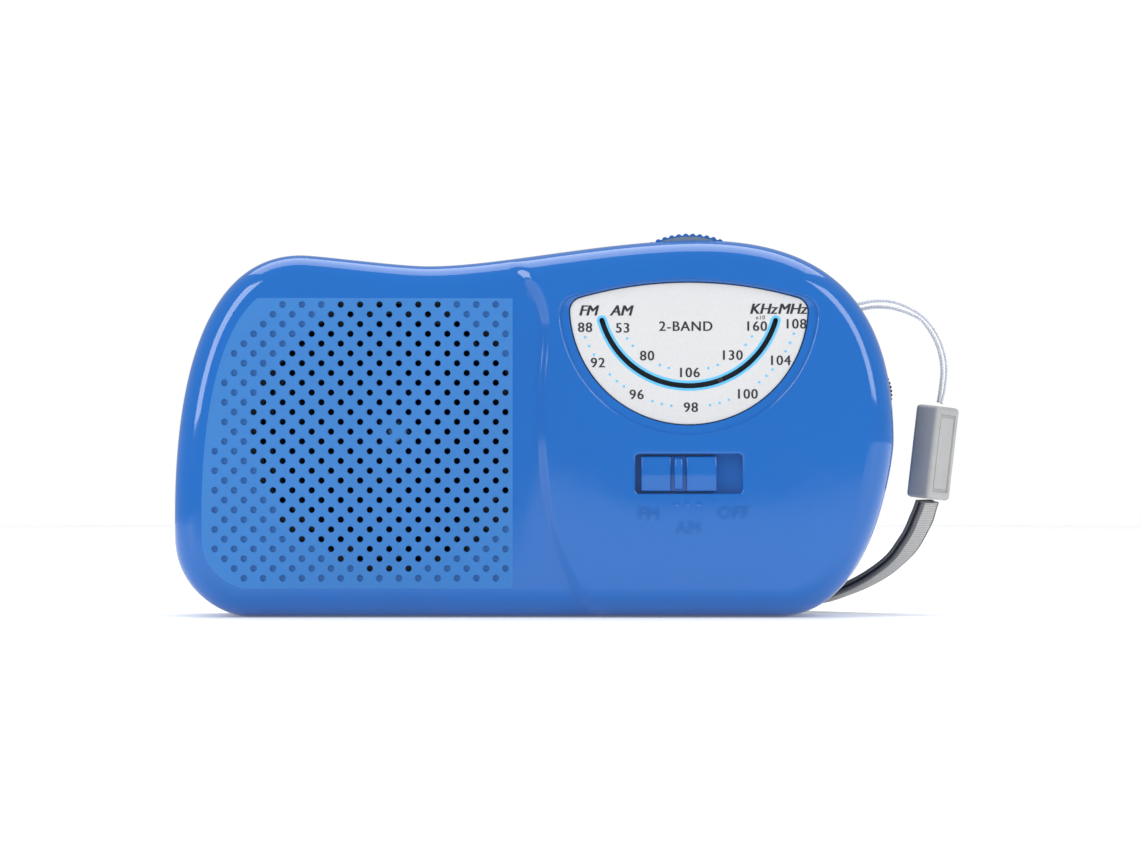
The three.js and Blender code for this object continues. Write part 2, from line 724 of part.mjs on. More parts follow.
function speakerMagnet() {
  return tubeAlongDepth(speaker.x, speaker.z, speaker.magnet, 5.6, magnetFront, magnetFront + 3.6, 24);
}

function speakerPole() {
  const { x, z, magnet } = speaker;
  const y = magnetFront + 3.6;
  const post = barAlongDepth(x, z, 4.2, y - 6, y + 0.5, 16);
  return barAlongDepth(x, z, magnet, y, y + 1.8, 24).add(post);
}

const terminal = { x: -25, z: 49.6, width: 9, height: 5 };

function speakerTerminal() {
  const y = speakerFront + 6.2;
  const { x, z, width, height } = terminal;
  const strip = box(x - width / 2, x + width / 2, y, y + 1.2, z - height / 2, z + height / 2);
  return strip.subtract(speakerFrame());
}

// ---- Aerials ----

function ferriteRod() {
  return barAlongX(rod.left, rod.right, rod.y, rod.z, rod.radius, 16);
}

function aerialCoil() {
  const outer = barAlongX(-40, -29, rod.y, rod.z, rod.radius + 1, 16);
  return outer.subtract(barAlongX(-41, -28, rod.y, rod.z, rod.radius, 16));
}

function rodClip(x) {
  const { y, z, radius } = rod;
  const half = radius + 1;
  const block = box(x - 1.5, x + 1.5, y - 1, shelf.front - wall, z - half, z + half);
  return block.subtract(barAlongX(x - 2, x + 2, y, z, radius, 16));
}

const knuckle = { radius: 3.2, slot: 2.4, web: 0.8, tongue: 2.1, pin: 0.8 };
const knuckleFront = shelf.front + fit;

function antennaKnuckle() {
  const { x, y, z } = antenna;
  const body = barAlongDepth(x, z, knuckle.radius, knuckleFront, back - fit, 20);
  const shaft = barAlongDepth(x, z, pivotShaft, shelf.front - wall - 1.4, knuckleFront + 0.2, 12);
  const half = knuckle.slot / 2;
  const slot = box(x - 10, x + 10, knuckleFront + knuckle.web, back + 1, z - half, z + half);
  const bore = barAlongZ(z - 5, z + 5, x, y, knuckle.pin, 10);
  return body.add(shaft).subtract(slot).subtract(bore);
}

function antennaPin() {
  const reach = knuckle.radius - 0.4;
  return barAlongZ(antenna.z - reach, antenna.z + reach, antenna.x, antenna.y, knuckle.pin, 10);
}

const tubeStart = antenna.x - knuckle.radius - 0.6;

function hollowTube(radius, right, left) {
  const { y, z } = antenna;
  const bore = barAlongX(left - 1, right - 2, y, z, radius - tubeWall, 16);
  return barAlongX(left, right, y, z, radius, 16).subtract(bore);
}

function antennaBase() {
  const { x, y, z, radii, length } = antenna;
  const thick = knuckle.slot - 2 * fit;
  const eye = barAlongZ(z - thick / 2, z + thick / 2, x, y, knuckle.tongue, 16);
  const arm = box(tubeStart - 0.5, x, y - 1.6, y + 1.6, z - thick / 2, z + thick / 2);
  const tongue = eye.add(arm).subtract(barAlongZ(z - 5, z + 5, x, y, knuckle.pin + fit / 2, 10));
  return hollowTube(radii[0], tubeStart, tubeStart - length).add(tongue);
}

const stageStep = 1; // each stage shows this much of itself when pushed in
const stageEnd = 2 + gap; // closed inner end of a stage, and the space before the next

function antennaStage(index) {
  const { radii, length } = antenna;
  const right = tubeStart - index * stageEnd;
  return hollowTube(radii[index], right, tubeStart - length - index * stageStep);
}

function antennaTip() {
  const { y, z, radii, length } = antenna;
  const stop = tubeStart - length - 2 * stageStep;
  const wire = barAlongX(stop - 1, tubeStart - 3 * stageEnd, y, z, radii[3], 10);
  return wire.add(barAlongX(stop - 3.2, stop - 0.4, y, z, radii[0] - 0.3, 16));
}

// ---- Battery bay ----

const contact = { thickness: 0.4, height: 9, y0: cellY - 5.4, y1: cellY + 5.6 };

function batteryCell(index) {
  const z = cellHeights[index];
  const { radius, length, button, buttonRadius } = cell;
  const left = index === 0 ? cellLeft : bay.left + bay.right - cellLeft - length;
  const body = barAlongX(left, left + length - button, cellY, z, radius, 24);
  const knob = barAlongX(left + length - button - 0.1, left + length, cellY, z, buttonRadius, 12);
  if (index === 0) return body.add(knob);
  const shifted = barAlongX(left + button, left + length, cellY, z, radius, 24);
  return shifted.add(barAlongX(left, left + button + 0.1, cellY, z, buttonRadius, 12));
}

function contactPlate(side, z0, z1) {
  const x = side < 0 ? bay.left : bay.right - contact.thickness;
  return box(x, x + contact.thickness, contact.y0, contact.y1, z0, z1);
}

function contactBump(side, z) {
  const inner = side < 0 ? bay.left + contact.thickness - 0.1 : bay.right - contact.thickness + 0.1;
  const reach = cellLeft - bay.left - contact.thickness - 2.5;
  const outer = inner - side * reach;
  return barAlongX(Math.min(inner, outer), Math.max(inner, outer), cellY, z, 2, 12);
}

function leftContact() {
  const [low, high] = cellHeights;
  const strip = contactPlate(-1, low - contact.height / 2, high + contact.height / 2);
  return strip.add(contactBump(-1, high)).add(contactSpring(0));
}

function rightPlusContact() {
  const z = cellHeights[0];
  return contactPlate(1, z - contact.height / 2, z + contact.height / 2).add(contactBump(1, z));
}

function rightMinusContact() {
  const z = cellHeights[1];
  return contactPlate(1, z - contact.height / 2, z + contact.height / 2).add(contactSpring(1));
}

// The room that a conical contact spring takes up
function contactSpring(index) {
  const length = cellLeft - bay.left - contact.thickness / 2;
  const geometry = new THREE.CylinderGeometry(2.4, 4, length, 16);
  geometry.rotateZ(index === 0 ? -Math.PI / 2 : Math.PI / 2);
  const middle = (contact.thickness + length) / 2;
  const x = index === 0 ? bay.left + middle : bay.right - middle;
  geometry.translate(x, cellY, cellHeights[index]);
  return solidOf(geometry);
}

// ---- Headphone socket ----

function headphoneJack() {
  const { y, z, radius, depth } = jack;
  const inside = caseLeft + wall + 2;
  const body = box(inside, inside + depth, y - 4, y + 4, z - 5, z + 5);
  const barrel = barAlongX(caseLeft + 0.4, inside + 1, y, z, radius, 16);
  return body.add(barrel).subtract(barAlongX(caseLeft - 1, inside + depth - 2, y, z, 1.8, 12));
}

// ---- Wires and strap ----

// A round cord along chosen points
function cordAlong(points, radius, steps) {
  const curve = new THREE.CatmullRomCurve3(points.map((p) => new THREE.Vector3(...p)));
  const shape = new THREE.Shape().absarc(0, 0, radius, 0, 2 * Math.PI);
  const options = { steps, curveSegments: 4, extrudePath: curve };
  return solidOf(new THREE.ExtrudeGeometry(shape, options));
}

const wireRadius = 0.5;
const speakerWire = [
  [-22.5, -3.9, 49], [-20, -3.9, 54], [-10, -4.6, 57], [-2, -6.2, 57.4], [3.6, -7, 56], [5.4, -5.6, 54],
];
const batteryWires = [
  [[46, 3, 9], [46.1, 3, 14], [46.1, 0, 19], [46.6, -2.6, 24]],
  [[46, 3, 29], [46.4, 3, 31], [47.2, 0, 32.5], [47.6, -2.6, 30]],
];
const jackWire = [
  [-46.2, 6, 32], [-43, 6.5, 38], [-38, 7.5, 43], [-20, 8, 43.6], [-2, 6, 42], [2.5, 2, 43], [4.6, -2.6, 46.6],
];

const strapLoop = [
  [71.5, 6.1, 36.95], [72.1, 6.2, 39.2], [72.5, 6.4, 42.6], [72.3, 6.7, 45.2], [71.4, 7.2, 48.2],
  [69.9, 7.8, 50.8], [67.7, 8.5, 53], [63.9, 9.5, 54.9], [60.2, 10.4, 55.3], [56.4, 11, 54.6],
  [53, 11, 54.2], [49.8, 11, 53.9], [47.7, 12.5, 53.5], [49.5, 14.3, 53.1], [52.5, 13.6, 52.9],
  [56.6, 12.4, 53.6], [60.2, 11.6, 54.2], [63.9, 10.6, 53.8], [67.7, 9.5, 52.2], [69.5, 8.8, 50.1],
  [71, 8.1, 47.1], [71.7, 7.6, 43.3], [71.4, 7.3, 39.6], [71, 7.2, 37],
];
const webbingPath = [
  [69, 6.5, 19.8], [68.3, 6.9, 17.6], [67.5, 7.4, 15.5], [66.2, 8.2, 13], [64.5, 9.3, 10.5], [62, 10.8, 8.1],
  [59.5, 12.4, 6.3], [56.6, 14.2, 4.7], [53.7, 16, 3.5], [51, 17.7, 2.5], [47, 20.2, 1.6], [43, 22.7, 1.1],
  [38, 25.4, 1], [31, 28, 1], [22, 29.4, 1], [12, 29.8, 1], [2, 29.6, 1], [-8, 29, 1], [-18, 28, 1], [-27, 26.6, 1],
];

function strapConnector() {
  const { length, width, thickness } = connector;
  return solidOf(new THREE.BoxGeometry(width, thickness, length));
}

function strapWebbing() {
  const curve = new THREE.CatmullRomCurve3(webbingPath.map((p) => new THREE.Vector3(...p)));
  const steps = 40;
  const [w, t] = [webbing.width / 2, webbing.thickness / 2];
  const rings = [];
  for (let i = 0; i <= steps; i += 1) {
    const point = curve.getPointAt(i / steps);
    const along = curve.getTangentAt(i / steps);
    const across = new THREE.Vector3(along.y, -along.x, 0).normalize();
    const up = new THREE.Vector3().crossVectors(across, along).normalize();
    rings.push([[-w, -t], [w, -t], [w, t], [-w, t]].map(([a, b]) => (
      point.clone().addScaledVector(across, a).addScaledVector(up, b))));
  }
  return closedTube(rings);
}

// A tube with flat ends through rings of four corners
function closedTube(rings) {
  const faces = [];
  for (let r = 0; r + 1 < rings.length; r += 1) {
    for (let i = 0; i < 4; i += 1) {
      const [a, b] = [r * 4 + i, r * 4 + ((i + 1) % 4)];
      faces.push(a, b, a + 4, b, b + 4, a + 4);
    }
  }
  const end = (rings.length - 1) * 4;
  faces.push(0, 2, 1, 0, 3, 2, end, end + 1, end + 2, end, end + 2, end + 3);
  const geometry = new THREE.BufferGeometry();
  const points = new Float32Array(rings.flat().flatMap((p) => [p.x, p.y, p.z]));
  geometry.setAttribute('position', new THREE.BufferAttribute(points, 3));
  geometry.setIndex(faces);
  return outwards(geometry);
}

// ---- Assembly ----

addNode('front_shell', frontShell(), 'blue', 'gloss');
addNode('rear_shell', rearShell().subtract(doorOpening()), 'blue', 'gloss');
addNode('battery_door', batteryDoor(), 'blue', 'gloss');
caseScrews.forEach(([x, z], i) => {
  addNode(`case_screw_${i + 1}`, screw(x, z, back - screwHeadDepth + 1.6, 18, 1.6, -1), 'steel', 'metal');
});

addNode('dial_plate', dialPlate(), 'white');
addNode('tuning_wheel', tuningWheel(), 'blue', 'gloss');
addNode('pointer_disc', pointerDisc(), 'slate');
addNode('pointer_line', pointerLine(), 'pink');
addNode('tuning_shaft', tuningShaft(), 'brass', 'metal');
addNode('tuning_screw', screw(tuning.x, tuning.z, tuning.front - 0.9, 4, 0.9, 1), 'steel', 'metal');
addNode('tuning_capacitor', tuningCapacitor(), 'cream');

addNode('volume_control', volumeBody(), 'black');
addNode('volume_rotor', volumeRotor(), 'cream');
addNode('volume_wheel', volumeWheel(), 'black');
addNode('volume_screw', volumeScrew(), 'steel', 'metal');

addNode('band_knob', bandKnobSolid(), 'blue', 'gloss');
addNode('band_switch', switchCase(), 'steel', 'metal');
addNode('band_switch_lever', switchLever(), 'black');

addNode('circuit_board', circuitBoard(), 'green');
boardScrews.forEach(([x, z], i) => {
  addNode(`board_screw_${i + 1}`, screw(x, z, boardBack + 1.2, 7, 1.2, -1), 'steel', 'metal');
});
[[10.6, 56.2], [10.6, 48.2]].forEach(([x, z], i) => addNode(`if_can_${i + 1}`, ifCan(x, z), 'steel', 'metal'));
addNode('radio_chip', frontBlock(24, 12, 20, 6.4, 3.4), 'paper');
[[8, 30], [8, 20]].forEach(([x, z], i) => addNode(`electrolytic_${i + 1}`, frontCan(x, z, 2.6, 6.5), 'paper'));
addNode('ceramic_filter', frontBlock(44, 22, 7, 2.6, 6), 'orange');
addNode('fm_coil', airCoil(39, 12), 'copper', 'metal');

addNode('speaker_frame', speakerFrame(), 'steel', 'metal');
addNode('speaker_cone', speakerCone(), 'paper');
addNode('speaker_dust_cap', dustCap(), 'steel', 'metal');
addNode('speaker_magnet', speakerMagnet(), 'ferrite');
addNode('speaker_pole', speakerPole(), 'steel', 'metal');
addNode('speaker_terminal', speakerTerminal(), 'orange');

addNode('ferrite_rod', ferriteRod(), 'ferrite');
addNode('aerial_coil', aerialCoil(), 'copper');
[-44, -11].forEach((x, i) => addNode(`rod_clip_${i + 1}`, rodClip(x), 'white'));
addNode('antenna_knuckle', antennaKnuckle(), 'steel', 'metal');
addNode('antenna_pin', antennaPin(), 'steel', 'metal');
addNode('antenna_tube_1', antennaBase(), 'steel', 'metal');
addNode('antenna_tube_2', antennaStage(1), 'steel', 'metal');
addNode('antenna_tube_3', antennaStage(2), 'steel', 'metal');
addNode('antenna_tip', antennaTip(), 'steel', 'metal');

addNode('battery_lower', batteryCell(0), 'paper');
addNode('battery_upper', batteryCell(1), 'paper');
addNode('contact_left', leftContact(), 'steel', 'metal');
addNode('contact_right_plus', rightPlusContact(), 'steel', 'metal');
addNode('contact_right_minus', rightMinusContact(), 'steel', 'metal');

addNode('headphone_jack', headphoneJack(), 'black');

addNode('speaker_wire', cordAlong(speakerWire, wireRadius, 14), 'red');
addNode('battery_wire_red', cordAlong(batteryWires[0], wireRadius, 8), 'red');
addNode('battery_wire_black', cordAlong(batteryWires[1], wireRadius, 6), 'black');
addNode('jack_wire', cordAlong(jackWire, wireRadius, 18), 'grey');

addNode('strap_cord', cordAlong(strapLoop, cordRadius, 40), 'white');
const clasp = addNode('strap_connector', strapConnector(), 'grey', 'gloss');
clasp.position.set(connector.x, connector.y, connector.z);
clasp.rotation.set(0, THREE.MathUtils.degToRad(connector.tilt), THREE.MathUtils.degToRad(connector.turn), 'YZX');
addNode('strap_webbing', strapWebbing(), 'white');

export default radio;
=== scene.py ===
"""A transistor pocket radio: case, grille, dial, controls, aerial, strap and stage."""

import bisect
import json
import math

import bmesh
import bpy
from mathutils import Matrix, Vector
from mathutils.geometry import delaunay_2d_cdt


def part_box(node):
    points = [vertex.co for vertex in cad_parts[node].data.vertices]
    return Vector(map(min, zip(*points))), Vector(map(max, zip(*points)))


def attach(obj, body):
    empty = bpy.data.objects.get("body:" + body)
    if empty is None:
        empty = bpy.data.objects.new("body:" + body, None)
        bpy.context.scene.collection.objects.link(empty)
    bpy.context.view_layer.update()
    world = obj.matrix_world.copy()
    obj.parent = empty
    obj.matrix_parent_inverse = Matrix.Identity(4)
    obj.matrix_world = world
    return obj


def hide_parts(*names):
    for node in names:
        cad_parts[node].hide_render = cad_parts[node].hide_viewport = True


bl_info = {
    "name": "Pocket Radio",
    "version": (1, 0, 0),
    "blender": (4, 5, 0),
    "location": "View3D > Sidebar > Radio",
    "description": "Builds the visible pieces of a transistor pocket radio around its frame",
    "category": "Object",
}

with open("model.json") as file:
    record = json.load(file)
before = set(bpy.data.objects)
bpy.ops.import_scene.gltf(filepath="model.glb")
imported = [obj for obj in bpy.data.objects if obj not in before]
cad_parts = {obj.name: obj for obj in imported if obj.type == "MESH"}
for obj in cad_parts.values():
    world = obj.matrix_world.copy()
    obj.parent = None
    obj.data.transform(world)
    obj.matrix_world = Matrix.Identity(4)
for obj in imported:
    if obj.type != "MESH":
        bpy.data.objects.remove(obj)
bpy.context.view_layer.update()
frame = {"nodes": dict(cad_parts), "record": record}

MM = 0.001


def span(node):
    """Lowest and highest corner of a frame node, as vectors."""
    low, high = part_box(node)
    return Vector(low), Vector(high)


def middle(node):
    low, high = span(node)
    return (low + high) / 2


# ---- Sizes taken from the frame ----

FRONT_LOW, FRONT_HIGH = span("front_shell")
REAR_LOW, REAR_HIGH = span("rear_shell")
PLATE_LOW, PLATE_HIGH = span("dial_plate")
SPEAKER = middle("speaker_frame")
VOLUME = middle("volume_wheel")
KNOB = middle("band_knob")
DOOR_LOW, DOOR_HIGH = span("battery_door")

FACE = FRONT_LOW.y                 # front face of the dial half
FIELD_FACE = FACE + 1.0 * MM       # front face of the speaker half
BACK = REAR_HIGH.y
EDGE_REACH = 5.0 * MM              # how far the rounded edges reach in from the outline
EDGE_DEPTH = 7.0 * MM
WALL = 2.0 * MM
SEAM = 0.12 * MM                   # half the parting line's groove
STEP_HALF = 0.95 * MM              # half the width of the slope between the two halves


# ---- Mesh helpers ----

def link(obj):
    bpy.context.scene.collection.objects.link(obj)
    return obj


def smooth(mesh, angle=32):
    mesh.shade_smooth()
    mesh.set_sharp_from_angle(angle=math.radians(angle))


def piece(name, bm, material, angle=32):
    """A finished piece from a bmesh, shaded smooth up to an angle."""
    mesh = bpy.data.meshes.new(name)
    bm.to_mesh(mesh)
    bm.free()
    smooth(mesh, angle)
    mesh.materials.append(material)
    return link(bpy.data.objects.new(name, mesh))


def add_ring(bm, points):
    return [bm.verts.new(p) for p in points]


def bridge(bm, first, second, flip=False):
    """Quads between two closed rings of equal length."""
    count = len(first)
    for i in range(count):
        j = (i + 1) % count
        corners = [first[i], first[j], second[j], second[i]]
        bm.faces.new(corners[::-1] if flip else corners)


def loft(bm, rings, flip=False):
    """Closed rings joined in order; gives back every ring."""
    made = [add_ring(bm, ring) for ring in rings]
    for a, b in zip(made, made[1:]):
        bridge(bm, a, b, flip)
    return made


def cap(bm, ring, flip=False):
    bm.faces.new(ring[::-1] if flip else ring)


def circle(radius, count):
    angles = [2 * math.pi * i / count for i in range(count)]
    return [(radius * math.cos(angle), radius * math.sin(angle)) for angle in angles]


def arcs_ring(arcs, y):
    """A ring at one depth, along arcs of (x, z, radius, start, end, steps)."""
    ring = []
    for x, z, radius, start, end, steps in arcs:
        for i in range(steps):
            angle = start + (end - start) * i / steps
            ring.append(Vector((x + radius * math.cos(angle), y, z + radius * math.sin(angle))))
    return ring


def evaluated_mesh(obj):
    """A plain copy of the mesh that an object makes with its modifiers."""
    bpy.context.view_layer.update()
    graph = bpy.context.evaluated_depsgraph_get()
    return bpy.data.meshes.new_from_object(obj.evaluated_get(graph), depsgraph=graph)


def turned(bm, profile, centre, axis="Y", sides=48):
    """A closed solid from [radius, height] points turned round an axis through centre."""
    def place(radius, height, angle):
        a, b = radius * math.cos(angle), radius * math.sin(angle)
        if axis == "Y":
            return centre + Vector((a, height, b))
        if axis == "X":
            return centre + Vector((height, a, b))
        return centre + Vector((a, b, height))

    rings = []
    for radius, height in profile:
        if radius < 1e-7:
            rings.append([bm.verts.new(place(0, height, 0))] * sides)
        else:
            rings.append([bm.verts.new(place(radius, height, 2 * math.pi * i / sides)) for i in range(sides)])
    for a, b in zip(rings, rings[1:]):
        for i in range(sides):
            j = (i + 1) % sides
            corners = list(dict.fromkeys([a[i], a[j], b[j], b[i]]))
            if len(corners) > 2:
                bm.faces.new(corners)
    bmesh.ops.recalc_face_normals(bm, faces=bm.faces)


def rounded_profile(radius, low, high, fillet, steps=4):
    """Profile of a disc with rounded edges, from the axis out and back."""
    points = [(0.0, low)]
    for i in range(steps + 1):
        angle = -math.pi / 2 + i * (math.pi / 2) / steps
        points.append((radius - fillet + fillet * math.cos(angle), low + fillet + fillet * math.sin(angle)))
    for i in range(steps + 1):
        angle = i * (math.pi / 2) / steps
        points.append((radius - fillet + fillet * math.cos(angle), high - fillet + fillet * math.sin(angle)))
    points.append((0.0, high))
    return points


def plain_box(bm, low, high):
    """A box between two corners; gives back its vertices."""
    verts = bmesh.ops.create_cube(bm, size=1.0)["verts"]
    low, high = Vector(low), Vector(high)
    place = Matrix.Translation((low + high) / 2) @ Matrix.Diagonal((*(high - low), 1.0))
    bmesh.ops.transform(bm, matrix=place, verts=verts)
    return verts


def bevel_box(bm, low, high, width, segments=3):
    """A box with rounded edges between two corners."""
    verts = plain_box(bm, low, high)
    edges = {e for v in verts for e in v.link_edges}
    faces = {f for v in verts for f in v.link_faces}
    bmesh.ops.bevel(
        bm, geom=list(edges) + list(faces) + verts, offset=width, segments=segments,
        profile=0.5, affect="EDGES", clamp_overlap=True,
    )


# ---- Case outline ----

def bezier(p, t):
    s = 1 - t
    return p[0] * s ** 3 + p[1] * 3 * s * s * t + p[2] * 3 * s * t * t + p[3] * t ** 3


def at(x, z):
    """A point of the front view, given in millimetres."""
    return Vector((x, z)) * MM


def outline_curves():
    """The outline seen from the front: level at its crests, waist and foot, upright at its sides."""
    left, right = at(-62.6, 13.7), at(62.2, 30.4)
    crest_left, waist, crest_right = at(-40.7, 62.7), at(-18.5, 60.8), at(28.5, 65.3)
    foot_left, foot_right = at(-50, 0), at(42.2, 0)
    return [
        (foot_right, foot_right + at(17.2, 0), right - at(0, 2), right),
        (right, right + at(0, 21.8), crest_right + at(24.5, 0), crest_right),
        (crest_right, crest_right - at(16.4, 0), waist + at(12.2, 0), waist),
        (waist, waist - at(5.6, 0), crest_left + at(3, 0), crest_left),
        (crest_left, crest_left - at(23.2, 0), left + at(0, 7.8), left),
        (left, left - at(0, 9.3), foot_left - at(4.2, 0), foot_left),
        (foot_left, foot_left.lerp(foot_right, 1 / 3), foot_left.lerp(foot_right, 2 / 3), foot_right),
    ]


def even_outline(count):
    """Points at equal spacing along the outline, and the inward direction at each."""
    fine = []
    for curve in outline_curves():
        fine += [bezier(curve, i / 200) for i in range(200)]
    lengths = [0.0]
    for a, b in zip(fine, fine[1:] + fine[:1]):
        lengths.append(lengths[-1] + (b - a).length)
    points = []
    for i in range(count):
        want = lengths[-1] * i / count
        k = bisect.bisect_right(lengths, want) - 1
        a, b = fine[k], fine[(k + 1) % len(fine)]
        points.append(a.lerp(b, (want - lengths[k]) / max((b - a).length, 1e-12)))
    inward = []
    for i in range(count):
        along = (points[(i + 1) % count] - points[i - 1]).normalized()
        inward.append(Vector((-along.y, along.x)))
    return points, inward


OUTLINE, INWARD = even_outline(640)


def inset_ring(inset, y):
    """The outline moved inwards; y is a depth or a function of the point."""
    ring = []
    for p, n in zip(OUTLINE, INWARD):
        q = p + n * inset
        ring.append(Vector((q.x, y(q, inset) if callable(y) else y, q.y)))
    return ring


def distance_to_outline(x, z):
    q = Vector((x, z))
    return min((q - p).length for p in OUTLINE[::2])


def step_line(count=18):
    """The S between the two halves, from the top edge to the foot."""
    parts = [
        (at(-6.4, 63.5), at(-2.2, 60.3), at(1.6, 56), at(1.85, 50)),
        (at(1.85, 50), at(1.95, 46.5), at(1.1, 42), at(1.1, 36)),
        (at(1.1, 36), at(1.1, 24), at(1.9, 10), at(11.4, -0.5)),
    ]
    points = []
    for part in parts:
        points += [bezier(part, i / count) for i in range(count)]
    return points + [parts[-1][3]]


STEP_LINE = step_line()


def side_of_step(q):
    """Signed distance from the S: negative on the speaker half."""
    best, sign = 1.0, 1.0
    for a, b in zip(STEP_LINE, STEP_LINE[1:]):
        along = b - a
        t = max(0.0, min(1.0, (q - a).dot(along) / along.length_squared))
        apart = q - (a + along * t)
        if apart.length < best:
            best = apart.length
            sign = 1.0 if along.x * apart.y - along.y * apart.x > 0 else -1.0
    return best * sign


def smooth_step(t):
    t = max(0.0, min(1.0, t))
    return t * t * (3 - 2 * t)


def face_depth(q):
    """Depth of the front face at a point of the front view."""
    if abs(q.x - 2 * MM) > 18 * MM:
        return FACE if q.x > 0 else FIELD_FACE
    raised = smooth_step((side_of_step(q) + STEP_HALF) / (2 * STEP_HALF))
    return FIELD_FACE + (FACE - FIELD_FACE) * raised


# ---- Finishes ----

def new_material(name):
    material = bpy.data.materials.new(name)
    material.use_nodes = True
    nodes = material.node_tree.nodes
    nodes.clear()
    shader = nodes.new("ShaderNodeBsdfPrincipled")
    output = nodes.new("ShaderNodeOutputMaterial")
    material.node_tree.links.new(shader.outputs["BSDF"], output.inputs["Surface"])
    return material, material.node_tree, shader


def noise(tree, scale, detail=3.0, stretch=(1, 1, 1)):
    """Noise on the piece's own coordinates, scale in features per metre."""
    place = tree.nodes.new("ShaderNodeTexCoord")
    mapping = tree.nodes.new("ShaderNodeMapping")
    mapping.inputs["Scale"].default_value = stretch
    texture = tree.nodes.new("ShaderNodeTexNoise")
    texture.inputs["Scale"].default_value = scale
    texture.inputs["Detail"].default_value = detail
    tree.links.new(place.outputs["Object"], mapping.inputs["Vector"])
    tree.links.new(mapping.outputs["Vector"], texture.inputs["Vector"])
    return texture.outputs["Fac"]


def ramp(tree, value, stops):
    """Colours or greys along a value: stops are (position, rgb or number)."""
    node = tree.nodes.new("ShaderNodeValToRGB")
    elements = node.color_ramp.elements
    while len(elements) < len(stops):
        elements.new(0.5)
    for element, (position, colour) in zip(elements, stops):
        element.position = position
        grey = isinstance(colour, (int, float))
        element.color = (colour,) * 3 + (1,) if grey else (*colour, 1)
    tree.links.new(value, node.inputs["Fac"])
    return node.outputs["Color"]


def shade(colour, factor):
    return tuple(min(1.0, c * factor) for c in colour)


def moulded(name, colour, rough=(0.08, 0.16), patch=60, vary=0.06, grain=None, metal=0.0, coat=0.0):
    """A finish with slow colour drift, uneven gloss and, if asked, a fine grain (scale, depth)."""
    material, tree, shader = new_material(name)
    tone = noise(tree, patch, 4)
    light, dark = shade(colour, 1 + vary), shade(colour, 1 - vary)
    tree.links.new(ramp(tree, tone, [(0.3, dark), (0.7, light)]), shader.inputs["Base Color"])
    wear = noise(tree, patch * 9, 5)
    tree.links.new(ramp(tree, wear, [(0.35, rough[0]), (0.7, rough[1])]), shader.inputs["Roughness"])
    shader.inputs["Metallic"].default_value = metal
    shader.inputs["Coat Weight"].default_value = coat
    if grain:
        scale, depth = grain
        bump = tree.nodes.new("ShaderNodeBump")
        bump.inputs["Distance"].default_value = depth
        bump.inputs["Strength"].default_value = 0.6
        tree.links.new(noise(tree, scale, 3), bump.inputs["Height"])
        tree.links.new(bump.outputs["Normal"], shader.inputs["Normal"])
    return material


_finishes = {}


def finish(make):
    """Each finish is made once, on first use."""
    if make.__name__ not in _finishes:
        _finishes[make.__name__] = make()
    return _finishes[make.__name__]


def case_blue():
    colour = tuple(bpy.context.scene.radio_case.colour)
    return moulded("case_blue", colour, rough=(0.05, 0.1), patch=30, vary=0.03)


def field_blue():
    """The finely sparked plastic of the speaker field."""
    red, green, blue = bpy.context.scene.radio_case.colour
    colour = (red + 0.014, green * 1.38, blue * 1.08)
    return moulded("field_blue", colour, rough=(0.42, 0.55), patch=40, vary=0.04, grain=(9000, 0.00002))


# ---- Flat sheets with openings ----

CONVEX, OPEN_BENT, EDGE = range(3)


def inside(polygon, x, z):
    found = False
    for (ax, az), (bx, bz) in zip(polygon, polygon[1:] + polygon[:1]):
        if (az > z) != (bz > z) and x < ax + (bx - ax) * (z - az) / (bz - az):
            found = not found
    return found


def sheet(bm, edge, openings, lines, height):
    """Triangles between an edge loop and opening loops, along the given lines; returns the faces."""
    verts, tags, joins = [], [], []
    for tag, (kind, loop) in enumerate([(EDGE, edge), *openings]):
        start = len(verts)
        verts += loop
        tags += [tag] * len(loop)
        joins += [(start + i, start + (i + 1) % len(loop)) for i in range(len(loop))]
    kinds = [EDGE] + [kind for kind, _ in openings]
    loops = [edge] + [loop for _, loop in openings]
    index = {v: i for i, v in enumerate(verts)}
    for line in lines:
        row = []
        for point in line:
            if isinstance(point, Vector):
                point = bm.verts.new((point.x, height(point), point.y))
            if point not in index:
                index[point] = len(verts)
                verts.append(point)
                tags.append(-1)
            row.append(index[point])
        joins += list(zip(row, row[1:]))
    flat = [Vector((v.co.x, v.co.z)) for v in verts]
    out, _, faces, origin, _, _ = delaunay_2d_cdt(flat, joins, [], 0, 1e-9)
    found = []
    for i, p in enumerate(out):
        if origin[i]:
            found.append((verts[origin[i][0]], tags[origin[i][0]]))
        else:
            found.append((bm.verts.new((p.x, height(p), p.y)), -1))
    polygons = {}
    made = []
    for face in faces:
        marks = {found[i][1] for i in face}
        if len(marks) == 1 and -1 not in marks:
            tag = marks.pop()
            if kinds[tag] == CONVEX:
                continue
            if tag not in polygons:
                polygons[tag] = [(v.co.x, v.co.z) for v in loops[tag]]
            x = sum(found[i][0].co.x for i in face) / 3
            z = sum(found[i][0].co.z for i in face) / 3
            within = inside(polygons[tag], x, z)
            if within != (kinds[tag] == EDGE):
                continue
        made.append(bm.faces.new([found[i][0] for i in face]))
    return made


# ---- Openings of the front ----

HOLE_SIDES = 12
RIM = 0.1 * MM                     # rounded lip of each grille hole
RIM_DEPTH = 0.12 * MM
GRILLE_ABOVE = 22.33 * MM          # top row above the speaker's middle
GRILLE_START = 11.92 * MM          # hole that the rows are counted from, left of the middle
GRILLE_END = 20.4 * MM             # right end of the rows


